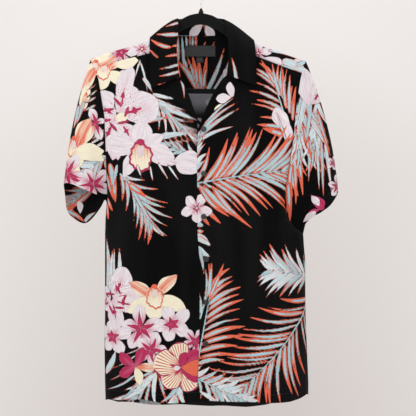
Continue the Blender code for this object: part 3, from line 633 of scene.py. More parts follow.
def frond(sheet, x0, z0, x1, z1, count, size, wide, spread, bow, paint, seed, sides=0, skew=0):
    """A palm leaf: a bowed rib with a leaflet to each side at each step along it.

    A leaflet leaves the rib at spread degrees near the foot and at half of that at the tip,
    and its length is size * sin(pi (0.18 + 0.72 t))^0.6. sides of 1 or -1 keeps one side, and
    skew turns all of them by some degrees.
    """
    run = math.hypot(x1 - x0, z1 - z0)
    heading = math.atan2(z1 - z0, x1 - x0)
    t = np.linspace(0, 1, 40)
    off = bow * np.sin(np.pi * t)
    rib_x = x0 + (x1 - x0) * t - (z1 - z0) / run * off
    rib_z = z0 + (z1 - z0) * t + (x1 - x0) / run * off
    rng = np.random.default_rng(seed)
    for i in range(count):
        f = 0.02 + 0.96 * i / max(count - 1, 1)
        slope = math.pi * bow / run * math.cos(math.pi * f)
        for side in (1, -1):
            jolt = rng.uniform(-1, 1, 5)
            if sides and side != sides:
                continue
            foot = f + 0.015 * jolt[4]
            x, z = np.interp(foot, t, rib_x), np.interp(foot, t, rib_z)
            turn = heading + slope + math.radians(skew)
            turn += side * math.radians(spread * (1 - 0.5 * f) + 4.5 * jolt[0])
            long = size * math.sin(math.pi * (0.18 + 0.72 * f)) ** 0.6 * (1 + 0.13 * jolt[1])
            tip = ahead_of(x, z, long, turn)
            thick = wide * (1 + 0.28 * jolt[3])
            mix = min(max(paint + 0.33 * jolt[2], 0), 1)
            blade(sheet, x, z, *tip, thick, side * -0.07 * long, mix, seed + 7 * i + side)
    for i in range(0, len(t) - 3, 2):
        line = rib_x[i], rib_z[i], rib_x[i + 3], rib_z[i + 3]
        pick = near(sheet, line[0], line[1], run / 10 + 4)
        if len(pick):
            a, b, length = along(sheet, pick, *line)
            ends = np.minimum(a + 0.2, 1.2 - a) * length
            lay(sheet, pick, np.minimum(1.7 - 0.9 * t[i] - np.abs(b), ends), "aqua")


def petal(sheet, x, z, long, wide, turn, name, look, seed):
    """One petal: its half width is wide/2 * sin(pi a^p)^q, ruffled at its far edge."""
    pick = near(sheet, x, z, long + wide / 2)
    if not len(pick):
        return
    look = dict(LOOKS["usual"], **LOOKS[look])
    a, b, run = along(sheet, pick, x, z, *ahead_of(x, z, long, math.radians(turn)))
    t = np.clip(a, 0, 1)
    b = b + 0.05 * long * math.sin(seed * 1.9) * np.sin(np.pi * t)
    power = math.log(0.5) / math.log(look["peak"])
    half = wide / 2 * np.sin(np.pi * t**power) ** (1.15 - 0.6 * look["round"])
    ruffle = 0.035 * wide * np.sin(a * 11 + seed) * smooth(a, 0.3, 0.8)
    inside = np.minimum(half - np.abs(b + ruffle), np.minimum(a + 0.02, 1 - a) * run)
    if look["edge"]:
        lay(sheet, pick, inside, "magenta", flush=0.25)
        inside = inside - look["edge"] * (1.0 + 0.6 * np.sin(a * 17 + seed))
    share = b / wide
    tone = look["rim"] * np.exp(-np.clip(inside, 0, 9) / 1.5)
    tone += look["throat"] * (1 - smooth(a, 0.0, look["reach"]))
    tone += look["mid"] * np.exp(-((share / 0.13) ** 2)) * (1 - smooth(a, 0.4, 1.0))
    blush = 0.75 + 0.25 * np.cos(share * 14 + seed)
    tone += look["all"] * blush * (1 - smooth(np.abs(share), 0.2, 0.42))
    lay(
        sheet, pick, inside, name, flush=np.clip(tone, 0, 1),
        run=a * run + seed * 31.0, side=b + seed * 17.0,
        speck=look["speck"] * (1 - smooth(a, 0.35, 0.85)) * smooth(a, 0.05, 0.25),
        stripe=look["stripe"] * (1 - smooth(a, 0.86, 0.97)) * smooth(inside, 0.5, 2.5),
        phase=share / (0.22 + t) * look["lines"],
    )
    if look["heart"]:
        spike = np.clip(1 - a / look["spike"], -0.3, 1)
        if look["blotch"]:
            ragged = 0.7 + 0.3 * np.cos(38 * a + seed)
            spike = (1 - np.abs(a - look["blotch"]) / (0.5 * look["spike"])) * ragged
        spike = look["heart"] * wide * spike - np.abs(b)
        lay(sheet, pick, np.minimum(spike, inside - 0.6), "magenta", flush=0.05)


def looks(rows):
    """Looks from rows of a name and pairs of a setting and its number."""
    made = {}
    for name, *pairs in (row.split() for row in rows.split(";")):
        made[name] = dict(zip(pairs[::2], map(float, pairs[1::2])))
    return made


# A petal's shape and tint. peak is its widest place and round its tip's fullness. throat, mid
# and all flush it from its foot as far as reach, along its middle and all over. rim darkens
# its edge, and edge gives it a magenta rim of that width. heart lays a magenta spike up to
# spike, or a blotch at that place. speck dots it, and stripe rules lines on it.
LOOKS = looks("""
    usual peak 0.6 round 0.8 edge 0 rim 0.25 throat 0 reach 0.5 mid 0 all 0 speck 0 stripe 0
        lines 30 heart 0 spike 0.7 blotch 0;
    plain rim 0.1 throat 0.12 reach 0.3 mid 0.08;
    slim rim 0.1 throat 0.15 reach 0.3 mid 0.08 round 0.45 peak 0.5;
    lily rim 0.12 mid 0.3 heart 0.13 spike 0.5 blotch 0.4 speck 0.9 round 0.7 peak 0.55;
    spotted rim 0.12 mid 0.34 heart 0.12 spike 0.42 blotch 0.36 speck 1 round 1;
    plumeria throat 0.95 heart 0.12 spike 0.42;
    star rim 0.15 throat 1 reach 0.8 heart 0.27 spike 0.76 round 0.7;
    blossom rim 0.15 throat 0.9 reach 0.55 heart 0.28 spike 0.42;
    flushed rim 0.1 throat 0.5 reach 0.6 all 0.85 round 0.4 peak 0.55;
    pale rim 0.1 throat 0.3 reach 0.25 mid 0.05 round 0.5 peak 0.5;
    striped rim 0.3 throat 0.9 reach 0.4 stripe 1 lines 52 heart 0.12 spike 0.45 peak 0.62
        round 1.1 edge 2.4;
    deep rim 0.35 throat 0.1 reach 0.3 mid 0.55
""")


def lip(sheet, x, z, turn, size, rim_ink, seed):
    """The lip of an orchid: a ruffled cream tongue with a dark ragged rim, and its column."""
    pick = near(sheet, x, z, size * 1.5)
    if not len(pick):
        return
    a, b, run = along(sheet, pick, x, z, *ahead_of(x, z, size, math.radians(turn)))
    round_it = np.arctan2(b, (a - 0.5) * run)
    ragged = 0.025 * size * np.sin(11 * round_it + seed) + 0.03 * size * np.sin(4 * round_it)
    inside = 0.5 * size + ragged - np.hypot((a - 0.5) * run, b * 1.25)
    lay(sheet, pick, inside, rim_ink, flush=0.05, run=a * run, side=b, speck=0.0, stripe=0.0)
    heart = np.clip(0.9 - 1.4 * a + 0.2 * np.sin(b), 0, 1)
    lay(sheet, pick, inside - 0.08 * size, "cream", flush=heart)
    lay(sheet, pick, 0.1 * size - np.hypot((a - 0.3) * run * 0.5, b), "petal", flush=0.15)
    lay(sheet, pick, 0.14 * size - np.hypot((a + 0.02) * run * 1.3, b), rim_ink, flush=0.1)


def petals(rows):
    """A flower's petals from the back to the front: the angle at which each leaves the middle,
    its length and width as shares of the flower's size, its ink and its look."""
    cells = [row.split() for row in rows.split(";")]
    return [(*map(float, numbers), ink, look) for *numbers, ink, look in cells]


# Each kind of flower. The last four have five petals, every second one laid further round.
FLOWERS = {
    "orchid": petals("""80 0.8 0.62 petal plain; 238 1 0.42 petal slim;
        28 0.8 0.42 petal slim; 168 1 0.56 petal plain; 340 1.05 0.6 petal plain"""),
    "gold": petals("""204 1 0.5 cream pale; 338 1.1 0.5 cream pale; 270 0.75 0.62 cream pale;
        146 0.95 0.42 cream flushed; 44 1.05 0.42 cream flushed"""),
    "moth": petals("""92 0.95 0.8 cream striped; 300 1 0.85 cream striped;
        222 0.95 0.8 cream striped; 160 1.05 1 cream striped; 28 0.95 0.75 magenta deep;
        68 0.6 0.34 magenta plain; 316 0.85 0.42 magenta plain; 356 1 0.62 coral plain;
        182 0.26 0.2 petal plain"""),
    "lily": petals("""0 1 0.42 petal lily; 120 1 0.42 petal lily; 240 1 0.42 petal lily;
        60 0.95 0.52 petal lily; 180 0.95 0.52 petal lily; 300 0.95 0.52 petal lily"""),
    "duo": petals("""0 1 0.5 magenta deep; 72 0.9 0.5 magenta deep; 288 1 0.5 magenta deep;
        144 0.95 0.42 cream pale; 216 1 0.42 cream flushed"""),
    **{
        kind: [(k * 144, 1.0 - less * k, wide, "petal", kind) for k in range(5)]
        for kind, less, wide in (
            ("spotted", 0.05, 0.62),
            ("plumeria", 0.03, 0.58),
            ("star", 0.05, 0.55),
            ("blossom", 0.05, 0.6),
        )
    },
}
LIPS = {"orchid": ("magenta", 0.86, 0.16), "gold": ("coral", 0.7, 0.36)}  # rim, size and rise


def flower(sheet, kind, x, z, size, turn, seed):
    """A flower of a kind, from its petals' table, and then its middle."""
    for k, (at, long, wide, ink, look) in enumerate(FLOWERS[kind]):
        petal(sheet, x, z, long * size, wide * size, turn + at, ink, look, seed + k)
    if kind in LIPS:
        ink, share, rise = LIPS[kind]
        lip(sheet, x, z + rise * size, turn + 270, share * size, ink, seed)
    elif kind in ("lily", "spotted", "plumeria"):
        pick = near(sheet, x, z, size * 0.2)
        r = np.hypot(sheet["x"][pick] - x, sheet["z"][pick] - z)
        lay(sheet, pick, 0.08 * size - r, "cream", flush=0.1)


def anthers(sheet, x, z, size, turn):
    """The six dark anthers of a lily, slim ovals on a ring about its heart."""
    pick = near(sheet, x, z, size * 1.6)
    for k in range(6):
        at = math.radians(turn + 60 * k)
        x1, z1 = ahead_of(x, z, size * (0.85 + 0.2 * math.sin(2.4 * k)), at)
        dx, dz = sheet["x"][pick] - x1, sheet["z"][pick] - z1
        cosine, sine = math.cos(at + 0.9), math.sin(at + 0.9)
        off = np.hypot((dx * cosine + dz * sine) / 0.4, (dz * cosine - dx * sine) / 0.1)
        lay(sheet, pick, (1 - off / size) * 0.1 * size, "magenta")


PETAL_INKS = {"deep": "magenta", "flushed": "cream", "pale": "cream", "striped": "cream"}


def unrolled(grid, middle=None):
    """Places on the flat print: where a row turns away steeply, its steps count their depth."""
    step = np.diff(grid, axis=1)
    flat = np.hypot(step[..., 0], step[..., 2])
    step *= np.clip(np.abs(step[..., 1]) / np.maximum(flat, 1e-6), 1, 12)[..., None]
    place = np.concatenate([grid[:, :1], step], axis=1).cumsum(axis=1)
    middle = grid.shape[1] // 2 if middle is None else middle
    return place + (grid - place)[:, middle : middle + 1]


def printed(grid, rows):
    """The print of a grid of points, from a table of fronds, blades, petals and flowers."""
    sheet = blank(grid[..., 0], grid[..., 2])
    for seed, (kind, numbers) in enumerate(rows, 3):
        kind, _, look = kind.partition(":")
        if kind == "frond":
            frond(sheet, *numbers[:10], seed, *numbers[10:])
        elif kind == "blade":
            blade(sheet, *numbers, seed)
        elif kind == "anthers":
            anthers(sheet, *numbers)
        elif kind == "petal":
            petal(sheet, *numbers, PETAL_INKS.get(look, "petal"), look, seed)
        else:
            flower(sheet, kind, *numbers, seed)
    return sheet["ink"]


# Which of a motif's numbers are lengths. A flower and its anthers have one, their size.
LENGTHS = {"frond": (5, 6, 8), "blade": (4, 5), "petal": (2, 3)}


def from_squares(kind, numbers, scale):
    """A motif's numbers in mm: its places, to the nearest whole one, and its lengths."""
    middle_x, middle_z = (value / MM for value in VIEW_MIDDLE)
    for k in (0, 2) if kind in ("frond", "blade") else (0,):
        x, z = (numbers[k] - CORNER[0]) * SQUARE, -(numbers[k + 1] + CORNER[1]) * SQUARE
        numbers[k] = round(middle_x + (x - middle_x) * scale)
        numbers[k + 1] = round(middle_z + (z - middle_z) * scale)
    for k in LENGTHS.get(kind, (2,)):
        length = numbers[k] * (SQUARE * scale)
        numbers[k] = round(length, 1) if length < 20 else round(length)
    return numbers


def motifs(rows, scale=None):
    """Motifs from rows of a kind and its numbers. A row without a kind is of the last kind.

    Rows with a scale count in squares across and down, as the camera sees them, and the scale
    is below 1 on cloth that lies nearer to it. Other rows are in mm.
    """
    made, kind = [], None
    for cells in (row.split() for row in rows.split(";")):
        if cells[0][0].isalpha():
            kind = cells.pop(0)
        numbers = [float(cell) if "." in cell else int(cell) for cell in cells]
        if scale:
            numbers = from_squares(kind.partition(":")[0], numbers, scale)
        made.append((kind, numbers))
    return made


PRINT_RIGHT = motifs("""
    frond 120 174 150 222 8 38 4.2 40 3 0.74; blade 126 177 161 234 4.6 -2 0.75;
    129 184 146 197 7 0 0.1; 109 163 115 203 8 1 0.55; 104 172 113 200 5 0 0.3;
    104 198 112 211 5 0 0.1; 103 204 107 220 6 0 0.15; 117 164 112 192 4 0 0.9;
    frond 150 95 198 138 9 32 3.2 36 -3 0.92; blade 152 93 178 98 5 -1 1; 153 96 192 111 3 -2 1;
    155 101 201 121 7 -1 0.95; 158 105 197 139 3.4 0 0.85; 163 106 190 142 3 0 0.8;
    139 57 133 80 2.5 0 1; 139 59 147 92 3 1 1; 142 76 152 92 5 1 1; 137 123 169 117 7 1 0.75;
    150 140 192 133 8 2 0.97; 152 144 193 139 4 -1 0.8; frond 205 160 170 146 5 20 4 46 0 0.8;
    petal:plain 112 74 18 9 10; gold 103 70 26 352; petal:pale 112 62 26 16 8;
    petal:plain 116 112 32 30 52; 112 112 26 24 128; petal:spotted 121 114 50 17 80;
    120 114 40 34 20; petal:plain 118 160 44 28 100; petal:lily 116 116 26 18 140;
    116 118 24 18 190; 114 120 34 20 250; 120 122 26 20 300; petal:plain 112 160 30 24 72;
    petal:pale 114 119 15 10 22; anthers 115 115 14 20; orchid 140 148 34 2;
    petal:plain 208 168 34 25 167; petal:slim 176 164 22 12 162; blade 137 165 142 179 3 0 1;
    150 166 153 181 3 0 1; 158 163 169 181 3 0 1; 168 165 179 181 3 0 1;
    plumeria 196.5 208 17 58; blade 106 296 104 238 9 -2 0.97; 109 292 112 250 6 0 1;
    113 290 114 247 4 0 1; 120 284 119 247 6 0 1; petal:spotted 113 299 34 22 68;
    112 300 30 22 10; petal:lily 112 300 30 17 282; 112 300 30 17 350; 110 300 16 14 140;
    110 301 16 14 215; anthers 114 301 12 10; gold 155 298 31 2;
    frond 166 352 130 402 7 42 5 40 4 0.9; 182 372 172 412 5 30 6 34 0 0.97;
    blade 145 345 119 356 2.5 1 0.6; 150 348 108 382 3.5 3 0.85; 140 352 110 370 2.5 1 0.8;
    138 372 104 392 3.5 2 0.9; 140 378 118 402 3.5 2 0.8; 102 376 116 350 9 -2 0.95;
    blossom 172 323 22 40; star 141 328 24 95; blossom 112 338 21 20; star 151 350 20 70;
    195 341 17 130; duo 136 366 21 140; moth 181 366 27 5
""", scale=0.9775)
PRINT_LEFT = motifs("""
    frond 290 132 272 72 9 34 4 66 0 0.32 1; 291 112 277 84 5 36 3.9 34 0 0.42 -1;
    blade 280 90 262 57 5 0 0.15; 281 95 273 60 4.4 1 0.75; 286 127 257 124 6 0 0.35;
    286 135 263 128 7 0 0.1; petal:plain 291 130 28 15 126; petal:slim 288 140 16 9 84;
    blade 287 142 277 112 3 0 0.97; 197 138 235 96 4 4 0.9; 197 136 238 101 4.4 3 0.8;
    198 137 241 107 5.2 2 0.85; 197 141 234 126 5 2 0.97;
    frond 194 186 198 136 8 15 4.6 46 0 0.9 -1; 194 184 304 169 16 62 5.6 55 1.5 0.5 0 1;
    blade 200 204 221 224 6 0 0.05; 200 214 210 226 5 0 0.05;
    frond 197 364 212 284 13 44 4.9 76 0 0.42 -1; 200 318 209 288 4 40 5 20 0 0.55 1;
    blade 209 297 212 261 5 0 0.6; 210 297 224 263 5 0 0.15; 197 224 204 226 7 0 0.9;
    197 231 204 231 5 0 0.3; 195 235 211 246 10 1 0.97; 196 246 211 257 8 -1 0.97;
    198 247 204 274 5 1 0.85; plumeria 196.5 208 17 58;
    frond 314 276 272 270 9 34 5.4 62 0 0.97; 316 298 236 394 17 56 4.9 60 5 0.42 0 -4;
    186 372 246 400 11 24 5.5 60 0 1; blade 200 390 222 403 5 0 1; 199 187 230 217 6 -3 0.15;
    203 186 247 223 6.5 -3 0.45; 212 186 252 228 6 -3 0.2; 214 180 238 131 5.5 -2 0.4;
    226 177 257 131 7 -3 0.45; 287 108 284 66 4.4 1 0.3; 290 113 291 72 4.6 1 0.7;
    293 120 297 84 4.4 1 0.1
""", scale=0.9775)
PRINT_YOKE = motifs("""
    petal:pale 112 60 22 12 128; petal:flushed 112 62 26 13 172; 92 70 26 13 62;
    petal:pale 103 66 22 14 92; star 121 52 18 80; plumeria 142 49 16 200; 258 53 15 10;
    petal:plain 262 58 24 12 340; 268 62 20 10 325; blade 282 60 312 78 12 2 0.97;
    280 66 300 78 8 1 0.97; gold 96 70 24 350; petal:plain 294 60 20 11 8;
    blade 268 50 304 60 5 2 0.97; 296 66 312 60 6 1 0.9; spotted 318 84 18 40
""", scale=0.995)
PRINT_COLLAR = motifs("""
    blade 180 21 165 26 3.5 0 0.5; 180 34 156 33 5.5 1 0.6; 171 48 150 38 5 2 0.1;
    179 45 171 47 3 0 0.1; 180 55 165 57 3.6 0 0.1; 181 64 159 70 3.8 1 0.7;
    181 71 158 77 3.8 1 0.6; 182 78 157 85 4.2 2 0.75; 166 87 159 92 1.6 0 0.1;
    158 58 148 48 3 0 0.1; 179 34 181 82 4 -1 0.85; 237 88 231.5 58 4.6 -1 0.8
""", scale=0.987)
PRINT_STAND = motifs("""
    petal:flushed 203 24 10 4 180; petal:plain 203 24 18 9 226; 203.5 24 18 9 306;
    blade 204 24 205 31 2.2 0 0
""", scale=1.022)
PRINT_INNER = motifs("""
    blade 178 64 178 33 4.4 0 0.97; 184 66 182 33 4.4 0 0.9; 187 48 186 33 3 0 0.9;
    190 47 190 33 3.4 0 0.05; 193 47 193 33 2.6 0 0.95; 196 47 196 33 3.4 0 0.05;
    203 48 206 41 2.4 0 0; 212 48 215 41 2.4 0 0; 188 74 184 56 4 0 0.9;
    200 93 176 60 8 -2 0.55; 200 92 187 56 5 0 0.6; 200 92 192 54 6 0 0.1;
    202 92 198 56 6 0 0.1; 203 92 207 54 5.4 0 0.1; 205 94 224 48 6 -2 0.8;
    212 93 231 56 5.5 -2 0.85; 216 92 223 78 3 0 1; petal:plain 227 83 14 7 96
""", scale=1.022)
PRINT_LAPELS = motifs("""
    petal:plain 233 98 17 8 103; 232 98 16 10 184; petal:pale 226 105 13 8 205;
    blade 180 76 184 98 3.2 1 0.9
""", scale=0.98)
PRINT_SLEEVE_RIGHT = motifs("""
    petal:pale 102 62 28 15 212; petal:flushed 97 66 30 13 238; petal:pale 88 82 30 11 256;
    petal:flushed 86 92 22 8 254; blade 96 84 84 90 2.5 1 0.5; 97 90 83 98 3 1 0.5;
    96 97 82 103 3.4 1 0.5; 96 105 80 111 4 1 0.4; 84 100 76 124 6 0 0.8; 78 104 73 128 5 0 0.8;
    104 136 88 146 4 0 0.95; 104 142 92 150 4 0 0.95; 104 130 92 140 4 0 0.9;
    frond 108 156 84 172 6 20 5 50 0 0.92; petal:star 97 124 17 9 115; 97 124 17 9 285;
    96 124 10 6 20; petal:deep 97 124 7 6 200; gold 74 149 30 2; petal:flushed 77 148 33 17 66;
    petal:pale 72 154 33 17 6; 72 160 20 15 280; star 67 174 22 60; petal:star 70 178 24 9 335;
    star 93 184 20 45
""", scale=0.9875)
PRINT_SLEEVE_RIGHT_BACK = motifs("""
    frond 92 184 66 206 8 28 4.5 30 0 0.6; blade 92 190 64 212 6 1 0.1; 66 210 84 222 6 1 0.25;
    84 222 96 212 5 1 0.9; petal:plain 80 214 13 6 95; frond 110 150 80 120 7 30 6 50 0 0.7;
    plumeria 88 160 20 30; frond 106 104 78 84 7 28 5 48 0 0.5; petal:pale 84 100 24 16 240
""", scale=1.0125)
PRINT_SLEEVE_LEFT = motifs("""
    frond 294 96 290 176 9 42 4.6 24 0 0.5 0 2; blade 292 150 287 214 5 0 0.15;
    294 152 296 205 5 0 0.2; 288 182 291 222 7 0 0.05; 296 140 303 196 6 0 0.3;
    frond 302 92 298 150 7 42 4.8 26 0 0.92 0 6; 318 98 312 150 6 44 4.8 22 0 0.95 0 8;
    blade 317 140 319 190 4 0 0.95; 321 140 323 196 4.6 0 0.8; 325 140 332 194 4.6 0 0.95;
    310 140 308 182 4.4 0 0.9; 303 126 311 160 5 0 0.2; 305 100 331 150 7 -3 0.95;
    302 98 326 130 6 -2 0.7; 318 112 331 156 4.6 0 0.3; 306 96 296 140 7 0 0.97;
    311 98 306 146 6 0 0.9; petal:plain 308 106 40 22 97; petal:spotted 312 104 26 18 62;
    petal:deep 311 195 19 10 311; petal:slim 311 195.5 13 7 309; petal:deep 319 209.5 11 6 205;
    petal:plain 304 222 16 7 42; star 334 163 9 70; 338 186 12 95
""", scale=0.9875)
PRINT_SLEEVE_LEFT_BACK = motifs("""
    frond 330 100 318 170 8 40 6 46 2 0.6; 296 90 300 150 7 34 5 44 0 0.8;
    plumeria 312 180 20 30; orchid 312 128 26 10
""", scale=1.0125)


def linear(code):
    """An sRGB hex colour as linear red, green, blue and alpha."""
    parts = [int(code[i : i + 2], 16) / 255 for i in (0, 2, 4)]
    return [v / 12.92 if v <= 0.04045 else ((v + 0.055) / 1.055) ** 2.4 for v in parts] + [1.0]


def fill(node, inputs):
    """Sets inputs of a node: a socket is linked, and any other value becomes the constant."""
    for socket, value in inputs.items():
        if isinstance(value, bpy.types.NodeSocket):
            node.id_data.links.new(value, node.inputs[socket])
        else:
            node.inputs[socket].default_value = value


def add_node(tree, kind, inputs=(), out=0, **settings):
    """Adds a shader node with its settings and its inputs, by name or in their order."""
    made = tree.nodes.new("ShaderNode" + kind)
    for name, value in settings.items():
        setattr(made, name, value)
    fill(made, inputs if isinstance(inputs, dict) else dict(enumerate(inputs)))
    return made.outputs[out]


# What makes a Mix node one of colours.
COLOURS = {"out": 2, "data_type": "RGBA"}


def per_mm(size):
    """Texture scale that gives a pattern of that size in mm on Object coordinates."""
    return 1000 / size


def drag_lines(add, place):
    """The shallow drag lines that run down hung cloth, 70 mm apart, and their normals."""
    long = add("Mapping", {"Vector": place, "Scale": (1.0, 1.0, 0.22), "Rotation": (0, 0.1, 0)})
    lines = add("TexNoise", {"Vector": long, "Scale": per_mm(70), "Detail": 1.5})
    return lines, add("Bump", {"Height": lines, "Strength": 1.0, "Distance": 14.0 * MM})


def crepe(add, place):
    """The height of plain-woven viscose: threads both ways, uneven, and a soft crumple.

    Real threads lie 0.3 mm apart. They are drawn at 0.9 mm, which is as coarse as they need
    to be to show.
    """
    crumple = add("TexNoise", {"Vector": place, "Scale": per_mm(6), "Detail": 2})
    wave = {"Vector": place, "Scale": per_mm(0.9) / TURN * 0.5, "Distortion": 0.6}
    waves = [add("TexWave", wave, "Fac", bands_direction=axis) for axis in "XZ"]
    threads = add("Math", waves, operation="MULTIPLY")
    return add("Math", (crumple, threads), operation="ADD"), crumple


# Of each ink, how many mm noise and its own streaks let its edge wander.
WANDER = {
    "coral": (1.6, 0.8), "aqua": (1.0, 3.0), "petal": (1.0, 0.3), "cream": (1.0, 0.3),
    "magenta": (3.4, 7.0),
}


def printed_viscose(faded, look, add, place):
    """Plain-woven viscose, screen printed and unglazed: dull, soft and a little fuzzy.

    It gives the eye a flat black ground with crisp inks that sit in the cloth. Each ink shows
    where its distance is above 0, and streaks run along each leaf and petal, from noise
    stretched along it. faded is how far the wrong side goes to grey above FADE_HEIGHTS.
    """
    height, crumple = crepe(add, place)
    tone = {name: add("Attribute", out="Fac", attribute_name=name) for name in INKS + TONES}
    flush = tone["flush"]
    leaf = add("CombineXYZ", [
        add("Math", (tone["run"], 0.02), operation="MULTIPLY"),
        add("Math", (tone["side"], 0.55), operation="MULTIPLY"),
    ])
    noises = []
    for at, scale, detail in ((leaf, 1.0, 3), (leaf, 1.35, 1), (place, per_mm(2.4), 3)):
        noise = add("TexNoise", {"Vector": at, "Scale": scale, "Detail": detail})
        noises.append(add("Math", (noise, 0.5), operation="SUBTRACT"))
    streak, vein, shift = noises
    washed = add("MapRange", (streak, -0.25, 0.25))
    blushed = add("MapRange", (streak, -0.2, 0.2, 0.3, 1.6))
    # The colour that each ink turns to, and how far: a product of two and an addition.
    turns = {
        "coral": (look.coral_light, washed, 0.55, 0.0),
        "aqua": (look.aqua_light, washed, 0.45, flush),
        "petal": (look.magenta_light, streak, 0.3, flush),
        "cream": (look.coral, blushed, flush, 0.0),
        "magenta": (look.magenta_light, washed, 0.4, flush),
    }
    lines, draped = drag_lines(add, place)
    layers = [(add("MapRange", (lines, 0.4, 0.62)), look.ground_light[:])]
    for ink in INKS:
        other, *far = turns[ink]
        tint = getattr(look, ink)[:]
        if ink == "petal":
            share = add("MapRange", (vein, -0.22, 0.12))
            tint = add("Mix", {0: share, 6: look.petal_shade[:], 7: tint}, **COLOURS)
        share = add("MapRange", (add("Math", far, operation="MULTIPLY_ADD"), 0.0, 1.0))
        tint = add("Mix", {0: share, 6: tint, 7: other[:]}, **COLOURS)
        if ink == "aqua":
            share = add("MapRange", (vein, 0.10, 0.16))
            tint = add("Mix", {0: share, 6: tint, 7: look.coral[:]}, **COLOURS)
        edge = tone[ink]
        for noise, wide in zip((shift, streak), WANDER[ink]):
            edge = add("Math", (noise, wide, edge), operation="MULTIPLY_ADD")
        layers.append((add("MapRange", (edge, -0.25, 0.25)), tint))
    dots = add("TexVoronoi", {"Vector": place, "Scale": per_mm(3.6), "Randomness": 1.0})
    dots = add("MapRange", (dots, 0.30, 0.22))
    lines = add("MapRange", (add("Math", (tone["phase"],), operation="SINE"), 0.3, 0.7))
    ruled = add("Mix", {0: 0.45, 6: look.coral[:], 7: look.magenta[:]}, **COLOURS)
    for mark, where, tint in ((dots, "speck", look.magenta[:]), (lines, "stripe", ruled)):
        layers.append((add("Math", (mark, tone[where]), operation="MULTIPLY"), tint))
    if faded:
        high = add("SeparateXYZ", (place,), "Z")
        share = add("MapRange", (high, *FADE_HEIGHTS, 0.04 * faded, faded))
        layers.append((share, look.wrong_side[:]))
    shown = look.ground[:]
    for share, tint in layers:
        shown = add("Mix", {0: share, 6: shown, 7: tint}, **COLOURS)
    uneven = add("MapRange", (crumple, 0.0, 1.0, 0.93, 1.07))
    bump = {"Height": height, "Strength": look.weave, "Distance": 0.12 * MM, "Normal": draped}
    return {
        "Base Color": add("Mix", {0: 1.0, 6: shown, 7: uneven}, blend_type="MULTIPLY", **COLOURS),
        "Normal": add("Bump", bump),
        "Roughness": 0.85, "Sheen Weight": 0.02, "Specular IOR Level": 0.08,
    }


def woven_damask(look, add, place):
    """Damask label tape, satin woven in polyester: fine ribs across it and a slight gloss."""
    wave = {"Vector": place, "Scale": per_mm(0.7) / TURN, "Distortion": 0.4}
    ribs = add("TexWave", wave, "Fac", bands_direction="Z")
    return {
        "Base Color": add("Mix", {0: ribs, 6: look.label[:], 7: look.label_light[:]}, **COLOURS),
        "Normal": add("Bump", {"Height": ribs, "Strength": 0.5, "Distance": 0.1 * MM}),
        "Roughness": 0.55,
    }


def spun_thread(look, add, place):
    """Three-ply polyester sewing thread: each stitch is a little twisted and catches light."""
    wave = {"Vector": place, "Scale": per_mm(0.5) / TURN, "Distortion": 1.0}
    twist = add("TexWave", wave, "Fac", bands_direction="DIAGONAL")
    tints = {0: twist, 6: look.thread[:], 7: look.thread_light[:]}
    return {
        "Base Color": add("Mix", tints, **COLOURS),
        "Normal": add("Bump", {"Height": twist, "Strength": 0.6, "Distance": 0.1 * MM}),
        "Roughness": 0.6,
    }


def polyester_button(look, add, place):
    """Cast polyester, tumbled: black with a soft polish, dulled by fine scuffs."""
    scuffs = add("TexNoise", {"Vector": place, "Scale": per_mm(3), "Detail": 4})
    tints = {0: scuffs, 6: look.button[:], 7: look.button_light[:]}
    return {
        "Base Color": add("Mix", tints, **COLOURS),
        "Normal": add("Bump", {"Height": scuffs, "Strength": 0.2, "Distance": 0.05 * MM}),
        "Roughness": add("MapRange", (scuffs, 0.0, 1.0, 0.28, 0.46)),
    }


def flocked_plastic(look, add, place):
    """ABS frame flocked with short nylon: it drinks the light and its edges look hazy."""
    pile = add("TexNoise", {"Vector": place, "Scale": per_mm(0.8), "Detail": 3})
    worn = add("TexNoise", {"Vector": place, "Scale": per_mm(25), "Detail": 2})
    share = add("Math", (pile, worn), operation="MULTIPLY")
    return {
        "Base Color": add("Mix", {0: share, 6: look.flock[:], 7: look.flock_light[:]}, **COLOURS),
        "Normal": add("Bump", {"Height": pile, "Strength": 0.7, "Distance": 0.3 * MM}),
        "Roughness": 1.0, "Sheen Weight": 0.12, "Sheen Roughness": 0.6,
        "Specular IOR Level": 0.1,
    }


def plated_wire(look, add, place):
    """Nickel-plated steel wire, drawn and polished: a clear gloss with faint drawing lines."""
    lines = add("TexNoise", {"Vector": place, "Scale": per_mm(1.5), "Detail": 3})
    return {
        "Base Color": look.wire[:],
        "Metallic": 1.0,
        "Normal": add("Bump", {"Height": lines, "Strength": 0.15, "Distance": 0.03 * MM}),
        "Roughness": add("MapRange", (lines, 0.0, 1.0, 0.16, 0.3)),
    }


def painted_board(look, add, place):
    """Matt emulsion on board, rolled: pale and even, and a shade deeper round its middle."""
    middle = {"Vector": place, "Location": (-0.03, 0, 0.74), "Scale": (0.6, 0, 0.46)}
    ball = {"Vector": add("Mapping", middle)}
    ball = add("TexGradient", ball, "Fac", gradient_type="SPHERICAL")
    share = add("Math", (ball, 1.3), operation="MULTIPLY")
    tints = {0: share, 6: look.floor[:], 7: look.floor_dark[:]}
    return {"Base Color": add("Mix", tints, **COLOURS), "Roughness": 0.9}


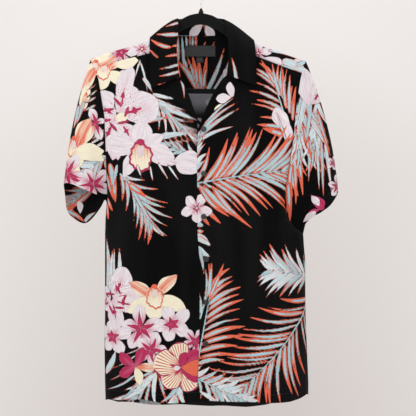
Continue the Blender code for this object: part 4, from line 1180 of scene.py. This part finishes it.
def put(name, points, faces, materials, inks=None):
    """A mesh from points in mm as an object at the origin, with its inks as point attributes.

    materials are named, and the second one is that of its inner side.
    """
    mesh = bpy.data.meshes.new(name)
    mesh.vertices.add(len(points))
    mesh.vertices.foreach_set("co", (points * MM).astype(np.float32).ravel())
    mesh.loops.add(faces.size)
    mesh.loops.foreach_set("vertex_index", faces.astype(np.int32).ravel())
    mesh.polygons.add(len(faces))
    starts = np.arange(len(faces), dtype=np.int32) * faces.shape[1]
    mesh.polygons.foreach_set("loop_start", starts)
    mesh.update(calc_edges=True)
    mesh.validate()
    for tone, values in (inks or {}).items():
        layer = mesh.attributes.new(tone, "FLOAT", "POINT")
        layer.data.foreach_set("value", values.astype(np.float32))
    for material in materials:
        mesh.materials.append(finish(material))
    mesh.shade_smooth()
    obj = bpy.data.objects.new(name, mesh)
    bpy.context.scene.collection.objects.link(obj)
    return obj


def quads(rows, columns, start=0, loop=False):
    """Corner numbers of the faces of a grid of points, closed round its rows if it is a loop."""
    index = start + np.arange(rows * columns).reshape(rows, columns)
    if loop:
        index = np.hstack([index, index[:, :1]])
    corners = index[:-1, :-1], index[1:, :-1], index[1:, 1:], index[:-1, 1:]
    return np.stack(corners, axis=-1).reshape(-1, 4)


@contextmanager
def reshaping(obj):
    """The object's mesh as a bmesh, which goes back into it, smooth, when the work is done."""
    shape = bmesh.new()
    shape.from_mesh(obj.data)
    yield shape
    shape.to_mesh(obj.data)
    shape.free()
    obj.data.shade_smooth()


def wall(obj, thick):
    """Gives an open piece a thin wall on its inner side, with its second material."""
    shell = obj.modifiers.new("wall", "SOLIDIFY")
    shell.thickness = thick * MM
    shell.offset = -1
    shell.material_offset = len(obj.data.materials) - 1


def cloth(name, grids, inks, wrong="printed_viscose", flipped=False, loop=False, thick=None):
    """A cloth piece: grids of points, printed, with a thin wall on their inner side.

    Grids whose edges share points are merged, so that one piece has one smooth surface. wrong
    names the material of its inner side.
    """
    points, faces, start = [], [], 0
    for grid in grids:
        faces.append(quads(*grid.shape[:2], start, loop))
        points.append(grid.reshape(-1, 3))
        start += len(points[-1])
    points, faces = np.concatenate(points), np.concatenate(faces)
    if flipped:
        faces = faces[:, ::-1]
    obj = put(name, points, faces, ["printed_viscose", wrong], inks)
    if len(grids) > 1:
        with reshaping(obj) as shape:
            bmesh.ops.remove_doubles(shape, verts=shape.verts, dist=0.05 * MM)
    wall(obj, thick or bpy.context.scene.shirt_sizes.ply)
    return obj


FINISHES = {
    "printed_viscose": partial(printed_viscose, 0.0),
    "viscose_wrong_side": partial(printed_viscose, 0.8),
    "viscose_show_through": partial(printed_viscose, 0.12),
    "woven_damask": woven_damask,
    "spun_polyester_thread": spun_thread,
    "tumbled_polyester": polyester_button,
    "flocked_abs": flocked_plastic,
    "nickel_plated_steel": plated_wire,
    "matt_painted_board": painted_board,
}


def finish(name):
    """The material of that name, made when it is first asked for."""
    made = bpy.data.materials.get(name)
    if not made:
        made = bpy.data.materials.new(name)
        made.use_nodes = True
        add = partial(add_node, made.node_tree)
        inputs = FINISHES[name](bpy.context.scene.shirt_look, add, add("TexCoord", out="Object"))
        fill(made.node_tree.nodes["Principled BSDF"], inputs)
    return made


def tube(name, path, radius, sides, material):
    """A round tube along a path in the plane of the hanger, with flat closed ends."""
    step = unit(np.gradient(path, axis=0))
    across = unit(np.cross(step, (0.0, 1.0, 0.0)))[:, None]
    other = np.cross(step, across[:, 0])[:, None]
    angle = np.linspace(0, 2 * np.pi, sides, endpoint=False)[None, :, None]
    ring = path[:, None] + radius * (np.cos(angle) * across + np.sin(angle) * other)
    ends = np.array([0.55, 0.9])[:, None, None]
    first = path[0] + (ring[0] - path[0]) * ends - step[0] * radius * 0.25
    last = path[-1] + (ring[-1] - path[-1]) * ends[::-1]
    rings = np.concatenate([first, ring, last])
    count = len(rings)
    points = np.concatenate([rings.reshape(-1, 3), path[:1], path[-1:]])
    obj = put(name, points, quads(count, sides, 0, True), [material])
    with reshaping(obj) as shape:
        shape.verts.ensure_lookup_table()
        for row, tip in ((0, count * sides), (count - 1, count * sides + 1)):
            rim = [shape.verts[row * sides + k] for k in range(sides)]
            for k in range(sides):
                shape.faces.new((rim[k], rim[(k + 1) % sides], shape.verts[tip]))
        bmesh.ops.recalc_face_normals(shape, faces=shape.faces)
    return obj


def stitches(name, runs, pitch=None, long=None, wide=None):
    """A seam's stitches: each is a small closed lozenge of thread along its line.

    A run is a line of points with the cloth's outward direction at each. Six rings of six
    points swell from each end as (1 - (2s - 1)^2)^0.5.
    """
    sizes = bpy.context.scene.shirt_sizes
    pitch, wide = pitch or sizes.stitch, wide or sizes.thread
    long = long or sizes.stitch * 0.72
    centres, ways, outs = [], [], []
    for line, out in runs:
        gap = lengths(line)
        at = np.arange(pitch / 2, gap[-1], pitch)
        place, ahead, lift = (
            np.stack([np.interp(where, gap, column) for column in columns], axis=-1)
            for where, columns in ((at, line.T), (at + 0.5, line.T), (at, out.T))
        )
        centres.append(place)
        ways.append(unit(ahead - place))
        outs.append(unit(lift))
    centre, way, out = (np.concatenate(part)[:, None, None] for part in (centres, ways, outs))
    across = np.cross(way, out)
    s = np.linspace(0, 1, 6)[None, :, None, None]
    swell = np.sqrt(np.clip(1 - (2 * s - 1) ** 2, 0.03, 1))
    angle = np.linspace(0, 2 * np.pi, 6, endpoint=False)[None, None, :, None]
    points = centre + way * (s - 0.5) * long
    points = points + across * np.cos(angle) * swell * wide / 2
    points = points + out * (np.sin(angle) * swell * wide * 0.4 + 0.12)
    caps = np.array([[0, 1, 2, 3], [0, 3, 4, 5], [33, 32, 31, 30], [35, 34, 33, 30]])
    one = np.concatenate([quads(6, 6, 0, True), caps])
    faces = one[None] + 36 * np.arange(len(centre))[:, None, None]
    obj = put(name, points.reshape(-1, 3), faces.reshape(-1, 4), ["spun_polyester_thread"])
    with reshaping(obj) as shape:
        bmesh.ops.recalc_face_normals(shape, faces=shape.faces)
    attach(obj, "root")


def facing(face, line):
    """A line of points, with the direction out of the front or the back at each."""
    return line, np.broadcast_to([0, 1.0 if face == "back" else -1.0, 0], line.shape)


def hem_run(face, grid):
    """The run of stitches at the top of a panel's hem band."""
    height = grid[..., 2] - grid[-1, :, 2]
    row = np.argmin(np.abs(height - HEM_BAND + STITCH_IN), axis=0)
    return facing(face, grid[row, np.arange(grid.shape[1])])


def colour(name, words, code):
    """A colour that a user may change, with its default as an sRGB hex."""
    return bpy.props.FloatVectorProperty(
        name=name, description=words, subtype="COLOR", size=4, min=0, max=1, default=linear(code)
    )


def number(name, words, default, low, high=100.0, unit="NONE"):
    """A number that a user may change."""
    return bpy.props.FloatProperty(
        name=name, description=words, default=default, min=low, max=high, unit=unit
    )


class ShirtLook(bpy.types.PropertyGroup):
    """Colours and finishes of the shirt, its hanger and the stage."""

    ground: colour("Ground", "Black ground of the print", "030303")
    ground_light: colour("Ground haze", "Ground where its drag lines catch light", "0F0E0F")
    coral: colour("Coral", "Coral ink of the leaves", "D65B43")
    coral_light: colour("Light coral", "Coral where the ink lies thin", "E07F63")
    aqua: colour("Aqua", "Aqua ink of the leaves", "93BDC5")
    aqua_light: colour("Light aqua", "Aqua where the ink lies thin", "CFDCE0")
    petal: colour("Petal", "White petals", "E6E0E1")
    petal_shade: colour("Petal shade", "Grey veins of the white petals", "C6BCC8")
    cream: colour("Cream", "Cream petals", "E6E0C8")
    magenta: colour("Magenta", "Throats, spikes and speckles", "A51543")
    magenta_light: colour("Pink", "Flush of the white petals", "C25A7E")
    wrong_side: colour("Wrong side", "Grey of the cloth's wrong side", "A9A8B0")
    label: colour("Label", "Ground of the woven label", "0D0C0E")
    label_light: colour("Label ribs", "Light ribs of the woven label", "1A191C")
    thread: colour("Thread", "Sewing thread", "1B1A1C")
    thread_light: colour("Thread light", "Lit side of the sewing thread", "353438")
    button: colour("Button", "Buttons", "141416")
    button_light: colour("Button haze", "Scuffs on the buttons", "2A2A2E")
    flock: colour("Flock", "Pile of the hanger", "060506")
    flock_light: colour("Flock haze", "Rubbed pile of the hanger", "0F0E10")
    wire: colour("Wire", "Plated wire of the hook", "C9C9CB")
    floor: colour("Backdrop", "Floor and wall", "EFECEA")
    floor_dark: colour("Backdrop shade", "Darker tone of floor and wall", "D3CDCB")
    weave: number("Weave", "Strength of the weave's relief", 0.35, 0, 1)


class ShirtSizes(bpy.types.PropertyGroup):
    """Sizes of the shirt's own detail, in millimetres."""

    ply: number("Cloth", "Thickness of one ply as drawn, in mm", 0.6, 0.2, 1)
    mesh_step: number("Mesh step", "Distance between points of the fronts, in mm", 2.0, 1.5, 6)
    stitch: number("Stitch", "Length of one stitch with its gap, in mm", 2.8, 1, 6)
    thread: number("Thread", "Width of the sewing thread, in mm", 0.45, 0.1, 1)


class ShirtStage(bpy.types.PropertyGroup):
    """The camera, the light and the backdrop."""

    distance: number("Camera distance", "From the shirt to the camera", 2.0, 0.5, unit="LENGTH")
    reach: number("View width", "Width of the view at the shirt", 0.8736, 0.1, unit="LENGTH")
    light: number("Light", "Power that the lamps have their shares of", 25, 0, unit="POWER")
    sky: number("Ambient", "Strength of the even light from all sides", 0.72, 0)


# The lamps: each one's share of the stage's power, its size and place in m and its turn in
# degrees.
LAMPS = {
    "key": (1.05, 1.6, (-2.1, -1.7, 1.3), (56, 0, -51)),
    "fill": (0.36, 2.6, (1.9, -2.2, 0.1), (80, 0, 42)),
    "front": (0.46, 1.0, (0.1, -2.6, 0.25), (82, 0, 2)),
    "top": (0.35, 2.0, (0.0, -0.6, 1.9), (14, 0, 0)),
    "wall": (1.0, 3.0, (0.0, 0.9, 2.6), (52, 0, 0)),
}


class SHIRT_OT_stage(bpy.types.Operator):
    """Camera, soft lamps, and a pale floor that curves up into a wall"""

    bl_idname = "shirt.stage"
    bl_label = "Stage"

    def execute(self, context):
        scene, stage = context.scene, context.scene.shirt_stage

        def set_up(name, data, place, turn):
            made = bpy.data.objects.new(name, data)
            made.location = place
            made.rotation_euler = [math.radians(angle) for angle in turn]
            scene.collection.objects.link(made)
            return made

        lens = bpy.data.cameras.new("camera")
        lens.sensor_width = FILM
        lens.lens = FILM * stage.distance / stage.reach
        lens.clip_end = 20
        place = VIEW_MIDDLE[0], -stage.distance, VIEW_MIDDLE[1]
        scene.camera = set_up("camera", lens, place, (90, 0, 0))
        for name, (power, size, place, turn) in LAMPS.items():
            data = bpy.data.lights.new(name, "AREA")
            data.energy = stage.light * power
            data.size = size
            set_up(name, data, place, turn)
        world = bpy.data.worlds.new("studio")
        world.use_nodes = True
        sky = {"Color": (1, 0.985, 0.975, 1), "Strength": stage.sky}
        fill(world.node_tree.nodes["Background"], sky)
        scene.world = world
        scene.view_settings.view_transform = "Standard"
        turn = np.linspace(0, np.pi / 2, 24)
        y = np.concatenate([[-6000], WALL_BACK - BEND + BEND * np.sin(turn), [WALL_BACK]])
        z = np.concatenate([[FLOOR], FLOOR + BEND - BEND * np.cos(turn), [3000]])
        points = [(x, *place) for place in zip(y, z) for x in (-5000.0, 5000.0)]
        faces = quads(len(y), 2)[:, ::-1]
        put("backdrop", np.array(points), faces, ["matt_painted_board"])
        return {"FINISHED"}


PRINT_BACK = motifs("""
    frond 190 -300 60 -380 12 105 14 60 8 0.55; -200 -300 -90 -420 11 105 14 58 -8 0.6;
    40 -560 150 -470 10 95 14 60 5 0.9; -30 -900 40 -740 11 90 14 64 6 0.55;
    215 -700 90 -850 13 110 15 58 0 0.55 0 -8; -190 -760 -120 -900 9 100 15 46 6 0.85;
    -60 -600 -170 -540 9 90 13 55 -5 0.9; blade -10 -300 50 -350 12 4 0.9;
    -14 -310 36 -380 12 4 0.9; lily -96 -330 74 20; petal:spotted -90 -318 84 60 40;
    orchid -20 -400 70 10; plumeria 120 -330 44 30; 80 -300 36 80; star 40 -278 38 10;
    spotted 176 -560 66 50; plumeria 128 -600 42 15; -140 -610 40 40; gold -60 -700 66 6;
    star -110 -745 48 90; plumeria -30 -770 44 30; moth -20 -850 58 4; duo -130 -840 44 110;
    lily 170 -800 66 60; star 110 -760 44 20
""")
PRINT_YOKE_BACK = motifs("""
    frond 60 -235 190 -190 10 70 12 55 4 0.6; -10 -235 -40 -120 8 80 12 50 0 0.5;
    -90 -240 -210 -215 9 64 12 55 4 0.9; orchid 60 -190 52 12; plumeria 120 -180 34 50;
    star -110 -180 38 30; plumeria -70 -160 36 80; gold -160 -215 44 8
""")


def chosen(mask, inks, others):
    """The inks where the mask is true, and the others elsewhere."""
    return {tone: np.where(mask.ravel(), inks[tone], others[tone]) for tone in inks}


def joined(*parts):
    """The inks of several grids, one after another."""
    return {tone: np.concatenate([inks[tone] for inks in parts]) for tone in parts[0]}


def declare(obj, node):
    """The piece stands for its node, takes the print's slot, and is a sheet of that cut."""
    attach(obj, "root")
    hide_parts(node)


class SHIRT_OT_back(bpy.types.Operator):
    """The back below the yoke, with its folds, hem band and side seams"""

    bl_idname = "shirt.back"
    bl_label = "Back"

    def execute(self, context):
        grid = back_grid(*MESH["back"])
        inks = printed(unrolled(grid), PRINT_BACK)
        obj = cloth("back_panel", [grid], inks, wrong="viscose_wrong_side", flipped=True)
        declare(obj, "back")
        return {"FINISHED"}


class SHIRT_OT_yoke(bpy.types.Operator):
    """The outer yoke over both shoulders and the inner yoke behind the neck"""

    bl_idname = "shirt.yoke"
    bl_label = "Yokes"

    def execute(self, context):
        back = yoke_back_grid(*MESH["yoke_back"])
        right, left = (yoke_side(side, "front", *MESH["yoke"]) for side in SIGN)
        grids = [back[:, ::-1], right[:, ::-1], left]
        rows = PRINT_YOKE_BACK, PRINT_YOKE, PRINT_YOKE
        obj = cloth("yoke_shell", grids, joined(*map(printed, grids, rows)))
        declare(obj, "yoke")
        inside = (back + normals(back) * (WALL + LAID))[2:, 14:-14]
        obj = cloth("yoke_inner_shell", [inside], printed(inside, PRINT_INNER))
        declare(obj, "yoke_inner")
        return {"FINISHED"}


class SHIRT_OT_fronts(bpy.types.Operator):
    """Both fronts, the left one lapping over the right one"""

    bl_idname = "shirt.fronts"
    bl_label = "Fronts"

    def execute(self, context):
        step = context.scene.shirt_sizes.mesh_step
        for side, rows in (("right", PRINT_RIGHT), ("left", PRINT_LEFT)):
            grid = front_grid(side, int(FRONT_WIDE[side] / step), int(FRONT_HIGH / step))
            inks, flipped = printed(unrolled(grid), rows), side == "right"
            obj = cloth(f"front_{side}_panel", [grid], inks, "viscose_wrong_side", flipped)
            declare(obj, f"front_{side}")
        return {"FINISHED"}


class SHIRT_OT_lapels(bpy.types.Operator):
    """The turned-out lapels, each rolled over at its line and lying on its front"""

    bl_idname = "shirt.lapels"
    bl_label = "Lapels"

    def execute(self, context):
        for side in SIGN:
            grid = lapel_grid(side, *MESH["lapel"])
            inks = printed(grid, PRINT_LAPELS)
            obj = cloth(f"lapel_{side}_turned", [grid], inks, flipped=side == "right", thick=0.9)
            declare(obj, f"lapel_{side}")
        return {"FINISHED"}


class SHIRT_OT_collar(bpy.types.Operator):
    """The camp collar: stand, fold and leaf in one run round the neck"""

    bl_idname = "shirt.collar"
    bl_label = "Collar"

    def execute(self, context):
        grid = collar_grid(*MESH["collar"])
        # The inside of the stand, behind the neck, has its own part of the print.
        stand = np.zeros(grid.shape[:2], bool)
        stand[:30] = grid[:30, :, 1] > 8
        inks = chosen(stand, printed(grid, PRINT_STAND), printed(grid, PRINT_COLLAR))
        obj = cloth("collar_turned", [grid], inks, thick=1.0)
        declare(obj, "collar")
        return {"FINISHED"}


class SHIRT_OT_sleeves(bpy.types.Operator):
    """Both short sleeves, full at the cap, each with its front and its back print"""

    bl_idname = "shirt.sleeves"
    bl_label = "Sleeves"

    def execute(self, context):
        for side, ahead, behind in (
            ("right", PRINT_SLEEVE_RIGHT, PRINT_SLEEVE_RIGHT_BACK),
            ("left", PRINT_SLEEVE_LEFT, PRINT_SLEEVE_LEFT_BACK),
        ):
            grid, half = sleeve_grid(side)
            quarter = grid.shape[1] // 4
            behind = printed(unrolled(grid, 3 * quarter), behind)
            inks = chosen(half, behind, printed(unrolled(grid, quarter), ahead))
            flipped = side == "left"
            obj = cloth(f"sleeve_{side}_tube", [grid], inks, "viscose_show_through", flipped, True)
            declare(obj, f"sleeve_{side}")
        return {"FINISHED"}


class SHIRT_OT_labels(bpy.types.Operator):
    """The woven neck label and the size tab under it, both blank"""

    bl_idname = "shirt.labels"
    bl_label = "Labels"

    def execute(self, context):
        tapes = {"label": ("neck_label", *LABEL), "size_tab": ("neck_tab", *SIZE_TAB)}
        for node, (name, left, right, top, bottom) in tapes.items():
            x, z = np.meshgrid(np.linspace(left, right, 60), np.linspace(top, bottom, 24))
            u = np.abs((x - (left + right) / 2) / ((right - left) / 2))
            w = np.abs((z - (top + bottom) / 2) / ((top - bottom) / 2))
            puff = 0.35 * (1 - np.maximum(u, w) ** 12)
            points = on("back", x, z, LABEL_IN + 0.4 - puff).reshape(-1, 3)
            obj = put(name, points, quads(*x.shape), ["woven_damask"])
            wall(obj, 0.45)
            declare(obj, node)
        return {"FINISHED"}


class SHIRT_OT_stitching(bpy.types.Operator):
    """Thread along the hems, the yoke seams and the label"""

    bl_idname = "shirt.stitching"
    bl_label = "Stitching"

    def execute(self, context):
        mesh = MESH["front_hem"]
        runs = [hem_run("front", front_grid(side, *mesh)) for side in SIGN]
        runs.append(hem_run("back", back_grid(*MESH["back_hem"])))
        x = np.linspace(-203, 203, 220)
        runs.append(facing("back", on("back", x, np.full(x.shape, YOKE_DEEP + 2.2))))
        for side, sign in SIGN.items():
            x = sign * np.linspace(88, 207, 90)
            runs.append(facing("front", on("front", x, front_seam(side, x) + 2.4)))
        stitches("hem_and_yoke_stitches", runs)
        runs = []
        for side, sign in SIGN.items():
            grid, _ = sleeve_grid(side)
            out = normals(grid) * sign
            run = np.linalg.norm(grid[-1] - grid[0], axis=-1)
            last, at = len(grid) - 1, np.arange(grid.shape[1])
            row = np.round((1 - (CUFF_BAND - STITCH_IN) / run) * last)
            row = np.clip(row.astype(int), 0, last)
            runs.append((grid[row, at], out[row, at]))
        stitches("cuff_stitches", runs)
        runs = []
        for left, right, top, bottom in (LABEL, SIZE_TAB):
            for x in (left + 1.2, right - 1.2):
                z = np.linspace(top - 0.6, bottom + 0.6, 30)
                runs.append(facing("front", on("back", np.full(z.shape, x), z, LABEL_IN)))
        stitches("label_stitches", runs, 1.9, 1.3, 0.4)
        return {"FINISHED"}


class SHIRT_OT_buttons(bpy.types.Operator):
    """The six buttons: each keeps its moulded form, and thread crosses in its holes"""

    bl_idname = "shirt.buttons"
    bl_label = "Buttons"

    def execute(self, context):
        runs = []
        for k in range(1, BUTTONS + 1):
            node = f"button_{k}"
            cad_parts[node].material_slots[0].material = finish("tumbled_polyester")
            low, high = (np.array(corner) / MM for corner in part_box(node))
            x, z = (low + high)[[0, 2]] / 2
            y = low[1] - 0.05
            s = np.linspace(-1, 1, 13)
            for shift in (-1.7, 1.7):
                line = np.stack([x + shift + 0 * s, y - 0.35 * (1 - s**2), z + 2.1 * s], axis=-1)
                runs.append(facing("front", line))
        stitches("button_threads", runs, 1.0, 1.6, 0.85)
        return {"FINISHED"}


class SHIRT_OT_hanger(bpy.types.Operator):
    """The hanger's flocked frame and cone, and the wire hook"""

    bl_idname = "shirt.hanger"
    bl_label = "Hanger"

    def execute(self, context):
        for node in ("hanger_body", "hanger_boss"):
            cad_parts[node].material_slots[0].material = finish("flocked_abs")
        centre = -(HOOK_RADIUS - WIRE / 2)
        angle = np.linspace(HOOK_FROM, HOOK_TO, 90)
        bow = HOOK_RADIUS * np.stack([np.cos(angle), np.sin(angle)], axis=-1) + (0, centre)
        stem = np.stack([np.zeros(12), np.linspace(STEM_FOOT, STEM_FOOT + 14, 12)], axis=-1)
        t = np.linspace(0, 1, 18)[1:-1, None]
        knee = stem[-1] + np.array([0, 7])
        join = (1 - t) ** 2 * stem[-1] + 2 * t * (1 - t) * knee + t * t * bow[0]
        x, z = np.concatenate([stem, join, bow]).T
        sine, cosine = math.sin(HANGER_TILT), math.cos(HANGER_TILT)
        path = np.stack([x * cosine + z * sine, 0 * x, z * cosine - x * sine], axis=-1)
        hook = tube("hook_wire", path, WIRE / 2, 24, "nickel_plated_steel")
        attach(hook, "root")
        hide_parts("hanger_hook")
        return {"FINISHED"}


OPERATORS = (
    SHIRT_OT_stage,
    SHIRT_OT_back,
    SHIRT_OT_yoke,
    SHIRT_OT_fronts,
    SHIRT_OT_lapels,
    SHIRT_OT_collar,
    SHIRT_OT_sleeves,
    SHIRT_OT_labels,
    SHIRT_OT_stitching,
    SHIRT_OT_buttons,
    SHIRT_OT_hanger,
)


class SHIRT_PT_panel(bpy.types.Panel):
    """Lists the shirt's pieces and its settings"""

    bl_idname = "SHIRT_PT_panel"
    bl_label = "Shirt"
    bl_space_type = "VIEW_3D"
    bl_region_type = "UI"
    bl_category = "Shirt"

    def draw(self, context):
        for operator in OPERATORS:
            self.layout.operator(operator.bl_idname)
        for group in GROUPS:
            owner = getattr(context.scene, group)
            for name in owner.__annotations__:
                self.layout.prop(owner, name)


GROUPS = {"shirt_look": ShirtLook, "shirt_sizes": ShirtSizes, "shirt_stage": ShirtStage}
CLASSES = (*GROUPS.values(), *OPERATORS, SHIRT_PT_panel)


def register():
    for made in CLASSES:
        bpy.utils.register_class(made)
    for name, group in GROUPS.items():
        setattr(bpy.types.Scene, name, bpy.props.PointerProperty(type=group))


def unregister():
    for name in GROUPS:
        delattr(bpy.types.Scene, name)
    for made in reversed(CLASSES):
        bpy.utils.unregister_class(made)


def main():
    register()
    for operator in OPERATORS:
        group, name = operator.bl_idname.split(".")
        getattr(getattr(bpy.ops, group), name)()


if __name__ == "__main__":
    main()
